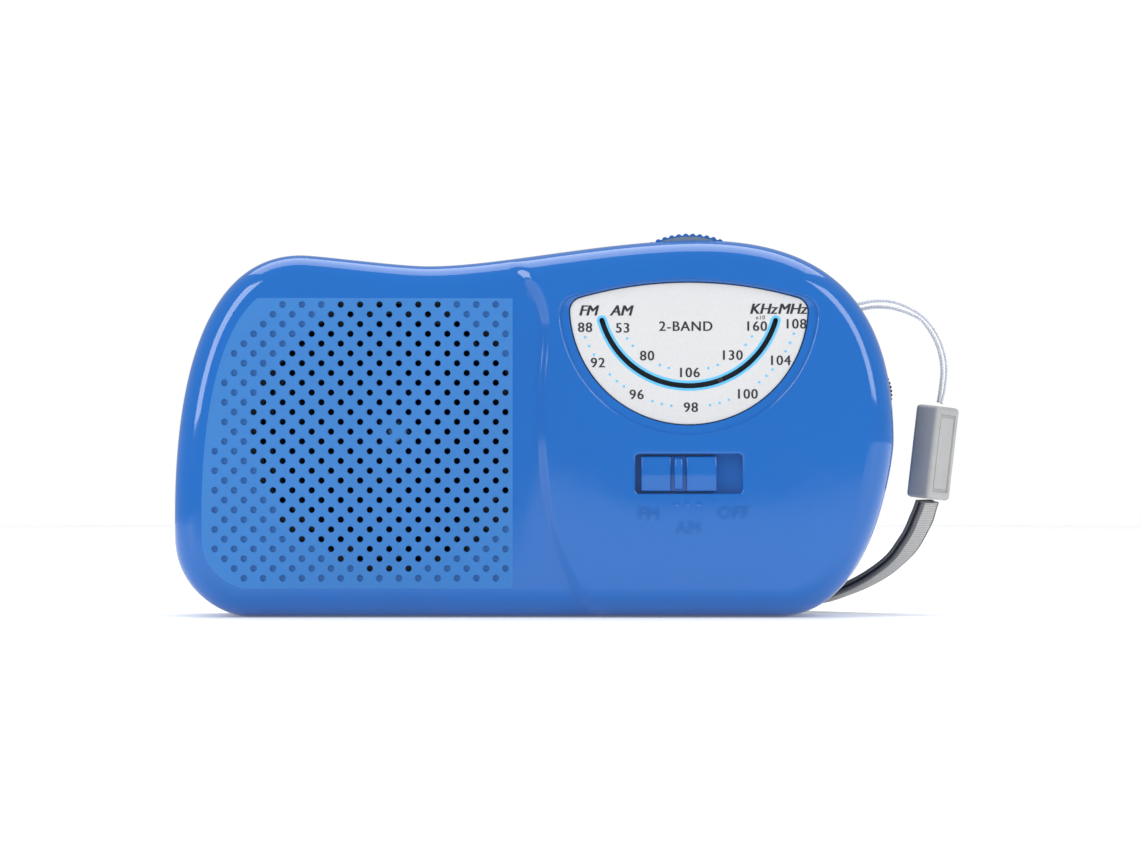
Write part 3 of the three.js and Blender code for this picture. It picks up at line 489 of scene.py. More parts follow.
def grille_holes():
    """Centres of the grille's holes, and whether each one goes through to the speaker."""
    settings = bpy.context.scene.radio_grille
    top = SPEAKER.z + GRILLE_ABOVE
    first = SPEAKER.x - GRILLE_START
    last = SPEAKER.x + GRILLE_END
    holes = []
    for row in range(settings.rows):
        z = top - row * settings.row_pitch
        shift = 0.5 * settings.pitch if row % 2 else 0.0
        for step in range(-14, 12):
            x = first + shift + step * settings.pitch
            if x > last or x < FRONT_LOW.x or distance_to_outline(x, z) < settings.margin:
                continue
            if z < FRONT_LOW.z:
                continue
            through = math.hypot(x - SPEAKER.x, z - SPEAKER.z) < settings.open_radius
            holes.append((x, z, through))
    return holes


DIAL_X = (PLATE_LOW.x + PLATE_HIGH.x) / 2
PLATE_RADIUS = 20.55 * MM
PLATE_CROWN = 68 * MM              # radius of the card's top edge
PLATE_CORNER = 2.4 * MM


def plate_outline(side, top, y):
    """The dial card's outline moved out at its sides and foot, and at its crowned top."""
    z0 = PLATE_LOW.z + PLATE_RADIUS
    crown_z = PLATE_HIGH.z - PLATE_CROWN
    corner = PLATE_CORNER + min(side, top)
    reach, crown_reach = PLATE_RADIUS + side, PLATE_CROWN + top
    inner, inner_crown = reach - corner, crown_reach - corner
    apart = z0 - crown_z
    up = (inner_crown ** 2 - inner ** 2 + apart ** 2) / (2 * apart)
    corner_x = math.sqrt(inner_crown ** 2 - up ** 2)
    corner_z = crown_z + up
    side_angle = math.atan2(corner_z - z0, corner_x)
    top_angle = math.atan2(up, corner_x)
    return arcs_ring([
        (DIAL_X, z0, reach, math.pi - side_angle, 2 * math.pi + side_angle, 72),
        (DIAL_X + corner_x, corner_z, corner, side_angle, top_angle, 8),
        (DIAL_X, crown_z, crown_reach, top_angle, math.pi - top_angle, 30),
        (DIAL_X - corner_x, corner_z, corner, math.pi - top_angle, math.pi - side_angle, 8),
    ], y)


SLOT_RADIUS = 15.6 * MM
SLOT_ABOVE = 1.7 * MM              # its centre, above the centre of the card's round foot
SLOT_DIP = math.radians(16)        # how far the slot's ends lie below its centre


def slot_centre():
    return DIAL_X, PLATE_LOW.z + PLATE_RADIUS + SLOT_ABOVE


def slot_outline(half, y, along=40, round_steps=8):
    """The curved slot with round ends, at half its width."""
    x0, z0 = slot_centre()
    start, end = math.pi + SLOT_DIP, 2 * math.pi - SLOT_DIP
    tips = [(x0 + SLOT_RADIUS * math.cos(a), z0 + SLOT_RADIUS * math.sin(a)) for a in (start, end)]
    return arcs_ring([
        (x0, z0, SLOT_RADIUS + half, start, end, along),
        (*tips[1], half, end, end + math.pi, round_steps),
        (x0, z0, SLOT_RADIUS - half, end, start, along),
        (*tips[0], half, start + math.pi, start + 2 * math.pi, round_steps),
    ], y)


def rounded_rect(x0, x1, z0, z1, radius, y, steps=5):
    ring = []
    corners = [(x1, z1, 0), (x0, z1, 1), (x0, z0, 2), (x1, z0, 3)]
    for x, z, quarter in corners:
        cx = x - radius if quarter in (0, 3) else x + radius
        cz = z - radius if quarter in (0, 1) else z + radius
        for i in range(steps + 1):
            angle = (quarter + i / steps) * math.pi / 2
            ring.append(Vector((cx + radius * math.cos(angle), y, cz + radius * math.sin(angle))))
    return ring


WINDOW_DEPTH = 2.2 * MM


def window_ring(out, y):
    """The band switch's window; the knob stands 1 mm from its left end."""
    left = span("band_knob")[0].x - 1.0 * MM
    right = left + 18.5 * MM
    half = 3.4 * MM
    return rounded_rect(left - out, right + out, KNOB.z - half - out, KNOB.z + half + out, 0.7 * MM + out, y)


def hole_liner_tree():
    """Geometry nodes: a lipped tube at each through hole, a lipped cup at each blind one."""
    tree, source, result = tree_with("grille_hole_liners", [
        ("Hole Radius", "Float"), ("Lip", "Float"), ("Lip Depth", "Float"), ("Wall Depth", "Float"),
        ("Blind Depth", "Float"), ("Sides", "Int"), ("Material", "Material")])
    new, link_ = tree.nodes.new, tree.links.new

    def arithmetic(operation, a, b):
        node = new("ShaderNodeMath")
        node.operation = operation
        for socket, value in zip(node.inputs, (a, b)):
            if isinstance(value, (int, float)):
                socket.default_value = value
            else:
                link_(value, socket)
        return node.outputs[0]

    def shifted(shape, depth):
        down = new("ShaderNodeCombineXYZ")
        link_(arithmetic("MULTIPLY", depth, -1.0), down.inputs["Z"])
        move = new("GeometryNodeTransform")
        link_(shape, move.inputs["Geometry"])
        link_(down.outputs[0], move.inputs["Translation"])
        return move.outputs[0]

    def frustum(top, bottom, depth):
        """An open cone whose mouth lies at height 0 and whose foot lies at minus depth."""
        cone = new("GeometryNodeMeshCone")
        cone.fill_type = "NONE"
        link_(source.outputs["Sides"], cone.inputs["Vertices"])
        link_(top, cone.inputs["Radius Top"])
        link_(bottom, cone.inputs["Radius Bottom"])
        link_(depth, cone.inputs["Depth"])
        return shifted(cone.outputs["Mesh"], depth)

    def joined(*shapes):
        join = new("GeometryNodeJoinGeometry")
        for shape in shapes:
            link_(shape, join.inputs[0])
        return join.outputs[0]

    radius, lip_depth = source.outputs["Hole Radius"], source.outputs["Lip Depth"]
    mouth = arithmetic("ADD", radius, source.outputs["Lip"])
    lip = frustum(mouth, radius, lip_depth)
    deep = frustum(radius, radius, arithmetic("SUBTRACT", source.outputs["Wall Depth"], lip_depth))
    shallow = frustum(radius, radius, arithmetic("SUBTRACT", source.outputs["Blind Depth"], lip_depth))
    floor = new("GeometryNodeMeshCircle")
    floor.fill_type = "NGON"
    link_(source.outputs["Sides"], floor.inputs["Vertices"])
    link_(radius, floor.inputs["Radius"])
    tube = joined(lip, shifted(deep, lip_depth))
    cup = joined(lip, shifted(shallow, lip_depth), shifted(floor.outputs[0], source.outputs["Blind Depth"]))
    blind = new("GeometryNodeInputNamedAttribute")
    blind.data_type = "BOOLEAN"
    blind.inputs["Name"].default_value = "blind"
    through = new("FunctionNodeBooleanMath")
    through.operation = "NOT"
    link_(blind.outputs["Attribute"], through.inputs[0])
    placed = []
    for shape, chosen in ((tube, through.outputs[0]), (cup, blind.outputs["Attribute"])):
        put = new("GeometryNodeInstanceOnPoints")
        link_(source.outputs["Geometry"], put.inputs["Points"])
        link_(chosen, put.inputs["Selection"])
        link_(shape, put.inputs["Instance"])
        put.inputs["Rotation"].default_value = (math.pi / 2, 0, 0)
        placed.append(put.outputs[0])
    finish_tree(tree, joined(*placed), source, result)
    return tree


def grown(name, source, tree, **inputs):
    """The plain mesh that a geometry node tree makes of a source mesh."""
    holder = link(bpy.data.objects.new(name + "_seed", source))
    modifier = holder.modifiers.new("grow", "NODES")
    modifier.node_group = tree
    for item in tree.interface.items_tree:
        if item.in_out == "INPUT" and item.name in inputs:
            modifier[item.identifier] = inputs[item.name]
    mesh = evaluated_mesh(holder)
    mesh.name = name
    holder.modifiers.clear()
    bpy.data.objects.remove(holder)
    return mesh


def liner_mesh(holes, wall_depth):
    settings = bpy.context.scene.radio_grille
    seed = bpy.data.meshes.new("grille_points")
    seed.from_pydata([(x, FIELD_FACE, z) for x, z, _ in holes], [], [])
    blind = seed.attributes.new("blind", "BOOLEAN", "POINT")
    for i, (_, _, through) in enumerate(holes):
        blind.data[i].value = not through
    return grown("grille_liners", seed, hole_liner_tree(), **{
        "Hole Radius": settings.hole / 2, "Lip": RIM, "Lip Depth": RIM_DEPTH, "Wall Depth": wall_depth,
        "Blind Depth": settings.blind_depth, "Sides": HOLE_SIDES, "Material": finish(field_blue),
    })


# ---- Front of the case ----

ROUND_STEPS = 12


def rounding(reach, start_inset, straight, level):
    """Rings from the side wall over the rounded edge; level gives the face's depth at a point."""
    rings = []
    for i in range(ROUND_STEPS + 1):
        angle = (i / ROUND_STEPS) * math.pi / 2
        inset = start_inset + reach * (1 - math.cos(angle))
        lift = math.sin(angle)
        rings.append(inset_ring(inset, lambda q, _, k=lift: straight + (level(q) - straight) * k))
    return rings


FIELD_RIGHT = SPEAKER.x + 21.1 * MM
FIELD_TOP = SPEAKER.z + 23.4 * MM


def nearest(ring, point):
    return min(ring, key=lambda v: (Vector((v.co.x, v.co.z)) - point).length)


def field_line(edge):
    """Right and top borders of the sparked field, ending on the edge loop."""
    upper = [v for v in edge if v.co.z > FIELD_TOP / 2]
    lower = [v for v in edge if v.co.z < FIELD_TOP / 2]
    start = nearest(lower, Vector((FIELD_RIGHT, 0)))
    end = min((v for v in upper if v.co.x < SPEAKER.x), key=lambda v: abs(v.co.z - FIELD_TOP))
    corner = Vector((FIELD_RIGHT, FIELD_TOP))
    foot = Vector((FIELD_RIGHT, start.co.z + 1 * MM))
    return [start, foot, corner, end]


def step_lines(edge):
    """Lines along the slope between the halves, ending on the edge loop."""
    lines = []
    for k in range(-3, 4):
        offset = STEP_HALF * k / 3
        row = []
        for i, p in enumerate(STEP_LINE):
            a, b = STEP_LINE[max(i - 1, 0)], STEP_LINE[min(i + 1, len(STEP_LINE) - 1)]
            along = (b - a).normalized()
            row.append(p + Vector((-along.y, along.x)) * offset)
        row = [p for p in row if p.y > 0 and distance_to_outline(p.x, p.y) > EDGE_REACH + 0.4 * MM]
        row = [p for p in row if EDGE_REACH < p.y]
        lines.append([nearest(edge, row[0]), *row, nearest(edge, row[-1])])
    return lines


def front_shell_mesh():
    bm = bmesh.new()
    straight = FACE + EDGE_DEPTH
    skin_back = FIELD_FACE + WALL
    outer = rounding(EDGE_REACH, 0, straight, face_depth)
    seam = [(WALL, 0), (2 * SEAM, 0), (2 * SEAM, -SEAM), (0, -3 * SEAM)]
    side = [inset_ring(inset, y) for inset, y in seam]
    inner = rounding(EDGE_REACH - WALL, WALL, straight, lambda q: skin_back)
    made = loft(bm, inner[::-1] + side + outer)
    inner_edge, outer_edge = made[0], made[-1]
    holes = grille_holes()
    mouth = bpy.context.scene.radio_grille.hole / 2 + RIM
    round_holes, back_holes = [], []
    for x, z, through in holes:
        points = circle(mouth, HOLE_SIDES)
        round_holes.append((CONVEX, add_ring(bm, [(x + a, FIELD_FACE, z + b) for a, b in points])))
        if through:
            points = circle(mouth - RIM, HOLE_SIDES)
            back_holes.append((CONVEX, add_ring(bm, [(x + a, skin_back, z + b) for a, b in points])))
    dial = dial_recess(bm)
    window = band_window(bm)
    front = sheet(bm, outer_edge, [*round_holes, (CONVEX, dial[0]), (CONVEX, window[0])],
                  [field_line(outer_edge), *step_lines(outer_edge)], face_depth)
    for f in front:
        c = f.calc_center_median()
        if c.x < FIELD_RIGHT and c.z < FIELD_TOP:
            f.material_index = 1
    sheet(bm, inner_edge, [*back_holes, (OPEN_BENT, dial[1]), (CONVEX, window[1])], [], lambda q: skin_back)
    liners = liner_mesh(holes, skin_back - FIELD_FACE)
    count = len(bm.faces)
    bm.from_mesh(liners)
    bm.faces.ensure_lookup_table()
    for f in bm.faces[count:]:
        f.material_index = 1
    bmesh.ops.remove_doubles(bm, verts=bm.verts, dist=0.02 * MM)
    bmesh.ops.recalc_face_normals(bm, faces=bm.faces)
    return bm


def dial_recess(bm):
    """The bevelled seat of the dial card, with the curved slot through its floor."""
    floor = PLATE_HIGH.y
    skin_back = FIELD_FACE + WALL
    side, top = 2.05 * MM, 0.75 * MM
    margin = 0.15 * MM
    rings = [
        plate_outline(side + margin, top + margin, FACE),
        plate_outline(side, top, FACE),
        plate_outline(side - 0.1 * MM, top - 0.05 * MM, FACE + 0.03 * MM),
        plate_outline(side - 0.3 * MM, top - 0.12 * MM, FACE + 0.2 * MM),
        plate_outline(side - 0.42 * MM, top - 0.18 * MM, FACE + 0.42 * MM),
        plate_outline(0.5 * MM, 0.4 * MM, FACE + 0.5 * MM),
        plate_outline(0.2 * MM, 0.2 * MM, FACE + 0.56 * MM),
        plate_outline(0.15 * MM, 0.15 * MM, floor),
    ]
    made = loft(bm, rings)
    slot = slot_outline(2.0 * MM, floor)
    slot_rings = loft(bm, [slot, slot_outline(2.0 * MM, skin_back)])
    sheet(bm, made[-1], [(OPEN_BENT, slot_rings[0])], [], lambda q: floor)
    return made[0], slot_rings[1]


def band_window(bm):
    """The switch's window: a lipped pocket with a slot for the knob's stem."""
    floor = FACE + WINDOW_DEPTH
    skin_back = FIELD_FACE + WALL
    lip = 0.3 * MM
    lip_steps = [(1.6, 0), (1, 0), (0.6, 0.12), (0.2, 0.5), (0, 1)]
    rings = [window_ring(lip * out, FACE + lip * down) for out, down in lip_steps]
    made = loft(bm, [*rings, window_ring(0, floor)])
    left, right = KNOB.x - 1.6 * MM, KNOB.x + 5.6 * MM
    low, high = KNOB.z - 1.6 * MM, KNOB.z + 1.6 * MM
    slot = [rounded_rect(left, right, low, high, 0.4 * MM, y) for y in (floor, skin_back)]
    slot_rings = loft(bm, slot)
    sheet(bm, made[-1], [(CONVEX, slot_rings[0])], [], lambda q: floor)
    return made[0], slot_rings[1]


# ---- Solids cut from one another ----

def solid(bm):
    bmesh.ops.remove_doubles(bm, verts=bm.verts, dist=0.002 * MM)
    bmesh.ops.recalc_face_normals(bm, faces=bm.faces)
    mesh = bpy.data.meshes.new("cutter")
    bm.to_mesh(mesh)
    bm.free()
    return link(bpy.data.objects.new("cutter", mesh))


def cut(target, cutters, operation="DIFFERENCE"):
    """Takes the cutters out of a closed piece, or adds them, and leaves a plain mesh."""
    for other in cutters:
        modifier = target.modifiers.new("cut", "BOOLEAN")
        modifier.object = other
        modifier.operation = operation
        modifier.solver = "MANIFOLD"
    mesh = evaluated_mesh(target)
    target.modifiers.clear()
    target.data = mesh
    for other in cutters:
        bpy.data.objects.remove(other)
    return target


def closed_solid(rings):
    """A solid from rings joined in order and capped at both ends."""
    bm = bmesh.new()
    made = loft(bm, rings)
    cap(bm, made[0])
    cap(bm, made[-1])
    return solid(bm)


def box_cutter(low, high):
    bm = bmesh.new()
    plain_box(bm, low, high)
    return solid(bm)


def round_cutter(radius, centre, low, high, axis="Y", sides=32):
    bm = bmesh.new()
    turned(bm, [(0, low), (radius, low), (radius, high), (0, high)], Vector(centre), axis, sides)
    return solid(bm)


# ---- Back of the case ----

FAR = 30 * MM                      # past the case on any side
REAR_WALL = 1.2 * MM               # walls of the pockets inside the rear half
REAR_FIT = 0.15 * MM               # gap round the door and the case screws
WHEEL_GAP = 0.4 * MM
BAY_FLOOR = -1.4 * MM
LEDGE_IN_FRONT = 0.7 * MM          # the ledge's clearances round the antenna
LEDGE_BELOW = 1.5 * MM
LEDGE_BESIDE = 2.8 * MM
NOTCH_LOW = (46 * MM, 10 * MM, 51 * MM)
NOTCH_TOP = 56 * MM
STRAP_BAR = (49.5 * MM, 12.6 * MM, 0)
STRAP_BAR_RADIUS = 0.9 * MM
JACK_RADIUS = 2.9 * MM
JACK_DEPTH = 6 * MM
SCREW_SINK = 1.7 * MM
CASE_SCREWS = [f"case_screw_{i}" for i in range(1, 5)]


def grown_box(box, by):
    (x0, y0, z0), (x1, y1, z1) = box
    return box_cutter((x0 - by, y0 - by, z0 - by), (x1 + by, y1, z1 + by))


def antenna_ledge():
    """Corners of the ledge that the folded antenna lies in."""
    hinge_end = span("antenna_knuckle")[1].x
    tube_low = span("antenna_tube_1")[0]
    return ((REAR_LOW.x - FAR, tube_low.y - LEDGE_IN_FRONT, tube_low.z - LEDGE_BELOW),
            (hinge_end + LEDGE_BESIDE, BACK + FAR, REAR_HIGH.z + FAR))


def hollow_rear():
    """The rear half with its antenna ledge and strap notch, open to the front."""
    straight = BACK - EDGE_DEPTH
    seam = [(2 * SEAM, 0), (2 * SEAM, SEAM), (0, 3 * SEAM)]
    outer = rounding(EDGE_REACH, 0, straight, lambda q: BACK)
    shell = closed_solid([*[inset_ring(inset, y) for inset, y in seam], *outer])
    hollow = rounding(EDGE_REACH - WALL, WALL, straight, lambda q: BACK - WALL)
    cavity = closed_solid([inset_ring(WALL, -WALL), *hollow])
    ledge = antenna_ledge()
    notch = (NOTCH_LOW, (REAR_HIGH.x + FAR, BACK + FAR, NOTCH_TOP))
    cut(cavity, [grown_box(ledge, REAR_WALL), grown_box(notch, REAR_WALL)])
    return cut(shell, [cavity, box_cutter(*ledge), box_cutter(*notch)])


def rear_openings(bay_low, bay_high):
    """Cutters for the battery bay, its door, the volume wheel, the headphone jack and the screws."""
    fit = Vector((REAR_FIT, REAR_FIT, REAR_FIT))
    wheel_low, wheel_high = span("volume_wheel")
    jack = middle("headphone_jack")
    cutters = [
        box_cutter(bay_low, (bay_high.x, BACK + FAR, bay_high.z)),
        box_cutter(DOOR_LOW - fit, (DOOR_HIGH.x + REAR_FIT, BACK + FAR, DOOR_HIGH.z + REAR_FIT)),
        box_cutter((VOLUME.x, wheel_low.y - WHEEL_GAP, wheel_low.z - WHEEL_GAP),
                   (VOLUME.x + FAR, wheel_high.y + WHEEL_GAP, wheel_high.z + WHEEL_GAP)),
        round_cutter(JACK_RADIUS, (0, jack.y, jack.z), REAR_LOW.x - FAR, REAR_LOW.x + JACK_DEPTH, "X"),
    ]
    for node in CASE_SCREWS:
        low, high = span(node)
        radius = (high.x - low.x) / 2 + REAR_FIT
        spot = ((low.x + high.x) / 2, 0, (low.z + high.z) / 2)
        cutters.append(round_cutter(radius, spot, BACK - SCREW_SINK, BACK + FAR))
    return cutters


def rear_shell_object():
    shell = hollow_rear()
    bay_low = Vector((DOOR_LOW.x + REAR_FIT, BAY_FLOOR, DOOR_LOW.z + REAR_FIT))
    bay_high = Vector((DOOR_HIGH.x - REAR_FIT, BACK - WALL / 2, DOOR_HIGH.z - REAR_FIT))
    wall = Vector((REAR_WALL, REAR_WALL, REAR_WALL))
    tub = box_cutter(bay_low - wall, (bay_high.x + REAR_WALL, bay_high.y, bay_high.z + REAR_WALL))
    bar_ends = NOTCH_LOW[2] - 0.5 * MM, NOTCH_TOP + 0.5 * MM
    bar = round_cutter(STRAP_BAR_RADIUS, STRAP_BAR, *bar_ends, "Z", 24)
    cut(shell, [tub, bar], "UNION")
    cut(shell, rear_openings(bay_low, bay_high))
    mesh = shell.data
    mesh.name = "rear_case"
    bpy.data.objects.remove(shell)
    smooth(mesh, 28)
    mesh.materials.clear()
    mesh.materials.append(finish(case_blue))
    return link(bpy.data.objects.new("rear_case", mesh))


GRIP_RIBS = 9
GRIP_PITCH = 1.1 * MM
GRIP_HALF = 6 * MM


def door_mesh():
    """The battery door with a row of grip ribs near its free edge."""
    bm = bmesh.new()
    bevel_box(bm, DOOR_LOW, DOOR_HIGH, 0.3 * MM)
    right = DOOR_HIGH.x - 3 * MM
    mid = (DOOR_LOW.z + DOOR_HIGH.z) / 2
    for i in range(GRIP_RIBS):
        left = right - i * GRIP_PITCH
        low = (left, DOOR_HIGH.y - 0.3 * MM, mid - GRIP_HALF)
        high = (left + 0.5 * MM, DOOR_HIGH.y + 0.35 * MM, mid + GRIP_HALF)
        bevel_box(bm, low, high, 0.2 * MM, 2)
    return bm


# ---- Repeats made by geometry nodes ----

def tree_with(name, sockets):
    tree = bpy.data.node_groups.new(name, "GeometryNodeTree")
    tree.interface.new_socket("Geometry", in_out="INPUT", socket_type="NodeSocketGeometry")
    for label, kind in sockets:
        tree.interface.new_socket(label, in_out="INPUT", socket_type=f"NodeSocket{kind}")
    tree.interface.new_socket("Geometry", in_out="OUTPUT", socket_type="NodeSocketGeometry")
    return tree, tree.nodes.new("NodeGroupInput"), tree.nodes.new("NodeGroupOutput")


def finish_tree(tree, geometry, source, result):
    """Ends a tree in real geometry with its material set."""
    real = tree.nodes.new("GeometryNodeRealizeInstances")
    paint = tree.nodes.new("GeometryNodeSetMaterial")
    tree.links.new(geometry, real.inputs[0])
    tree.links.new(real.outputs[0], paint.inputs["Geometry"])
    tree.links.new(source.outputs["Material"], paint.inputs["Material"])
    tree.links.new(paint.outputs[0], result.inputs[0])


def knurl_tree():
    """A wheel's body with round ribs set evenly about its rim."""
    tree, source, result = tree_with("knurled_rim", [
        ("Count", "Int"), ("Ring Radius", "Float"), ("Rib Radius", "Float"), ("Width", "Float"),
        ("Centre", "Vector"), ("Material", "Material")])
    new, join_to = tree.nodes.new, tree.links.new
    ring = new("GeometryNodeMeshCircle")
    join_to(source.outputs["Count"], ring.inputs["Vertices"])
    join_to(source.outputs["Ring Radius"], ring.inputs["Radius"])
    rib = new("GeometryNodeMeshCylinder")
    rib.inputs["Vertices"].default_value = 12
    join_to(source.outputs["Rib Radius"], rib.inputs["Radius"])
    join_to(source.outputs["Width"], rib.inputs["Depth"])
    put = new("GeometryNodeInstanceOnPoints")
    join_to(ring.outputs[0], put.inputs["Points"])
    join_to(rib.outputs[0], put.inputs["Instance"])
    move = new("GeometryNodeTransform")
    join_to(put.outputs[0], move.inputs["Geometry"])
    join_to(source.outputs["Centre"], move.inputs["Translation"])
    move.inputs["Rotation"].default_value = (math.pi / 2, 0, 0)
    both = new("GeometryNodeJoinGeometry")
    join_to(source.outputs["Geometry"], both.inputs[0])
    join_to(move.outputs[0], both.inputs[0])
    finish_tree(tree, both.outputs[0], source, result)
    return tree


def copies_tree():
    """One model object at each point."""
    tree, source, result = tree_with("copies_at_points", [("Model", "Object"), ("Material", "Material")])
    model = tree.nodes.new("GeometryNodeObjectInfo")
    put = tree.nodes.new("GeometryNodeInstanceOnPoints")
    tree.links.new(source.outputs["Model"], model.inputs["Object"])
    tree.links.new(source.outputs["Geometry"], put.inputs["Points"])
    tree.links.new(model.outputs["Geometry"], put.inputs["Instance"])
    finish_tree(tree, put.outputs[0], source, result)
    return tree


def points_mesh(points):
    seed = bpy.data.meshes.new("points")
    seed.from_pydata([tuple(p) for p in points], [], [])
    return seed


def screw_model(head, sign):
    """A pan head with a cross recess; sign is +1 when it faces back."""
    bm = bmesh.new()
    profile = [(0, -1.2 * MM), (head, -1.2 * MM), (head, -0.55 * MM), (head * 0.86, -0.18 * MM),
               (head * 0.55, 0), (0, 0)]
    turned(bm, [(r, h * sign) for r, h in profile], Vector((0, 0, 0)), "Y", 32)
    model = solid(bm)
    arm, half, deep = head * 0.62, head * 0.13, 0.8 * MM
    level = box_cutter((-arm, -deep, -half), (arm, deep, half))
    upright = box_cutter((-half, -deep, -arm), (half, deep, arm))
    return cut(model, [level, upright])


def screws(name, nodes, head, sign, body):
    """Screw heads of one body, at the outer end of each frame screw."""
    spots = []
    for node in nodes:
        low, high = span(node)
        spots.append(((low.x + high.x) / 2, high.y if sign > 0 else low.y, (low.z + high.z) / 2))
    model = screw_model(head, sign)
    mesh = grown(name, points_mesh(spots), copies_tree(), Model=model, Material=finish(steel))
    bpy.data.objects.remove(model)
    smooth(mesh)
    return declare(link(bpy.data.objects.new(name, mesh)), body, "steel")


# ---- Finishes of the other pieces ----

def tuning_blue():
    return moulded("tuning_blue", tuple(bpy.context.scene.radio_case.colour), rough=(0.22, 0.34), patch=90)


def black_plastic():
    return moulded("black_plastic", (0.012, 0.012, 0.014), rough=(0.25, 0.4), patch=120, vary=0.15)


def card_white():
    """Matt card with faint specks."""
    material, tree, shader = new_material("card_white")
    specks = noise(tree, 9000, 1)
    light = tuple(bpy.context.scene.radio_dial.card)
    stops = [(0.3, shade(light, 0.8)), (0.46, light), (1.0, light)]
    tree.links.new(ramp(tree, specks, stops), shader.inputs["Base Color"])
    tree.links.new(ramp(tree, noise(tree, 500, 3), [(0.3, 0.5), (0.7, 0.65)]), shader.inputs["Roughness"])
    return material


def ink():
    return moulded("ink", tuple(bpy.context.scene.radio_dial.ink), rough=(0.4, 0.55), patch=900, vary=0.2)


def scale_blue():
    return moulded("scale_blue", (0.1, 0.44, 0.75), rough=(0.4, 0.5), patch=900, vary=0.05)


def slate_plastic():
    return moulded("slate_plastic", (0.14, 0.19, 0.26), rough=(0.4, 0.55), patch=120, vary=0.12)


def pink_print():
    return moulded("pink_print", (0.62, 0.52, 0.62), rough=(0.4, 0.5), patch=900)


def cream_plastic():
    return moulded("cream_plastic", (0.66, 0.6, 0.46), rough=(0.3, 0.45), patch=150)


def steel():
    return moulded("steel", (0.55, 0.56, 0.58), rough=(0.22, 0.4), patch=300, metal=1.0)


def chrome_tube():
    return moulded("chrome_tube", (0.75, 0.76, 0.78), rough=(0.05, 0.14), patch=200, vary=0.03, metal=1.0)


def black_steel():
    return moulded("black_steel", (0.012, 0.013, 0.018), rough=(0.4, 0.55), patch=300, vary=0.2)


def brass():
    return moulded("brass", (0.72, 0.48, 0.18), rough=(0.25, 0.4), patch=300, metal=1.0)


def copper_wire():
    """Lacquered wire wound in close turns."""
    material, tree, shader = new_material("copper_wire")
    place = tree.nodes.new("ShaderNodeTexCoord")
    wave = tree.nodes.new("ShaderNodeTexWave")
    wave.inputs["Scale"].default_value = 700
    tree.links.new(place.outputs["Object"], wave.inputs["Vector"])
    stops = [(0.1, (0.16, 0.05, 0.02)), (0.7, (0.66, 0.26, 0.1))]
    tree.links.new(ramp(tree, wave.outputs["Fac"], stops), shader.inputs["Base Color"])
    shader.inputs["Metallic"].default_value = 0.9
    shader.inputs["Roughness"].default_value = 0.35
    return material


def green_board():
    return moulded("green_board", (0.02, 0.14, 0.05), rough=(0.25, 0.4), patch=220, vary=0.18)


def chip_black():
    return moulded("chip_black", (0.015, 0.015, 0.017), rough=(0.5, 0.65), patch=600, vary=0.2)


def orange_ceramic():
    return moulded("orange_ceramic", (0.6, 0.2, 0.03), rough=(0.35, 0.5), patch=300, vary=0.1)


def ferrite():
    return moulded("ferrite", (0.03, 0.03, 0.034), rough=(0.45, 0.7), patch=400, vary=0.25)


def cone_film():
    return moulded("cone_film", (0.006, 0.011, 0.03), rough=(0.35, 0.5), patch=200, vary=0.2)


def foil():
    # Painted reflection: the blue tint stands for the blue grille mirrored in the shiny cap; the foil itself
    # is silvery.
    return moulded("foil", (0.16, 0.34, 0.62), rough=(0.12, 0.3), patch=400, vary=0.2, metal=0.8)


def cell_jacket():
    """A printed cell jacket: a light band at one end of a dark sleeve."""
    material, tree, shader = new_material("cell_jacket")
    place = tree.nodes.new("ShaderNodeTexCoord")
    split = tree.nodes.new("ShaderNodeSeparateXYZ")
    tree.links.new(place.outputs["Object"], split.inputs[0])
    along = tree.nodes.new("ShaderNodeMapRange")
    along.inputs["From Min"].default_value = DOOR_LOW.x
    along.inputs["From Max"].default_value = DOOR_HIGH.x
    tree.links.new(split.outputs["X"], along.inputs["Value"])
    stops = [(0.68, (0.02, 0.022, 0.03)), (0.7, (0.5, 0.52, 0.55))]
    tree.links.new(ramp(tree, along.outputs["Result"], stops), shader.inputs["Base Color"])
    tree.links.new(ramp(tree, noise(tree, 400, 3), [(0.3, 0.2), (0.7, 0.35)]), shader.inputs["Roughness"])
    return material


def red_wire():
    return moulded("red_wire", (0.42, 0.02, 0.02), rough=(0.3, 0.45), patch=300, vary=0.1)


def grey_wire():
    return moulded("grey_wire", (0.22, 0.22, 0.23), rough=(0.3, 0.45), patch=300, vary=0.1)


def grey_clasp():
    return moulded("grey_clasp", (0.34, 0.34, 0.34), rough=(0.35, 0.5), patch=180, vary=0.06)


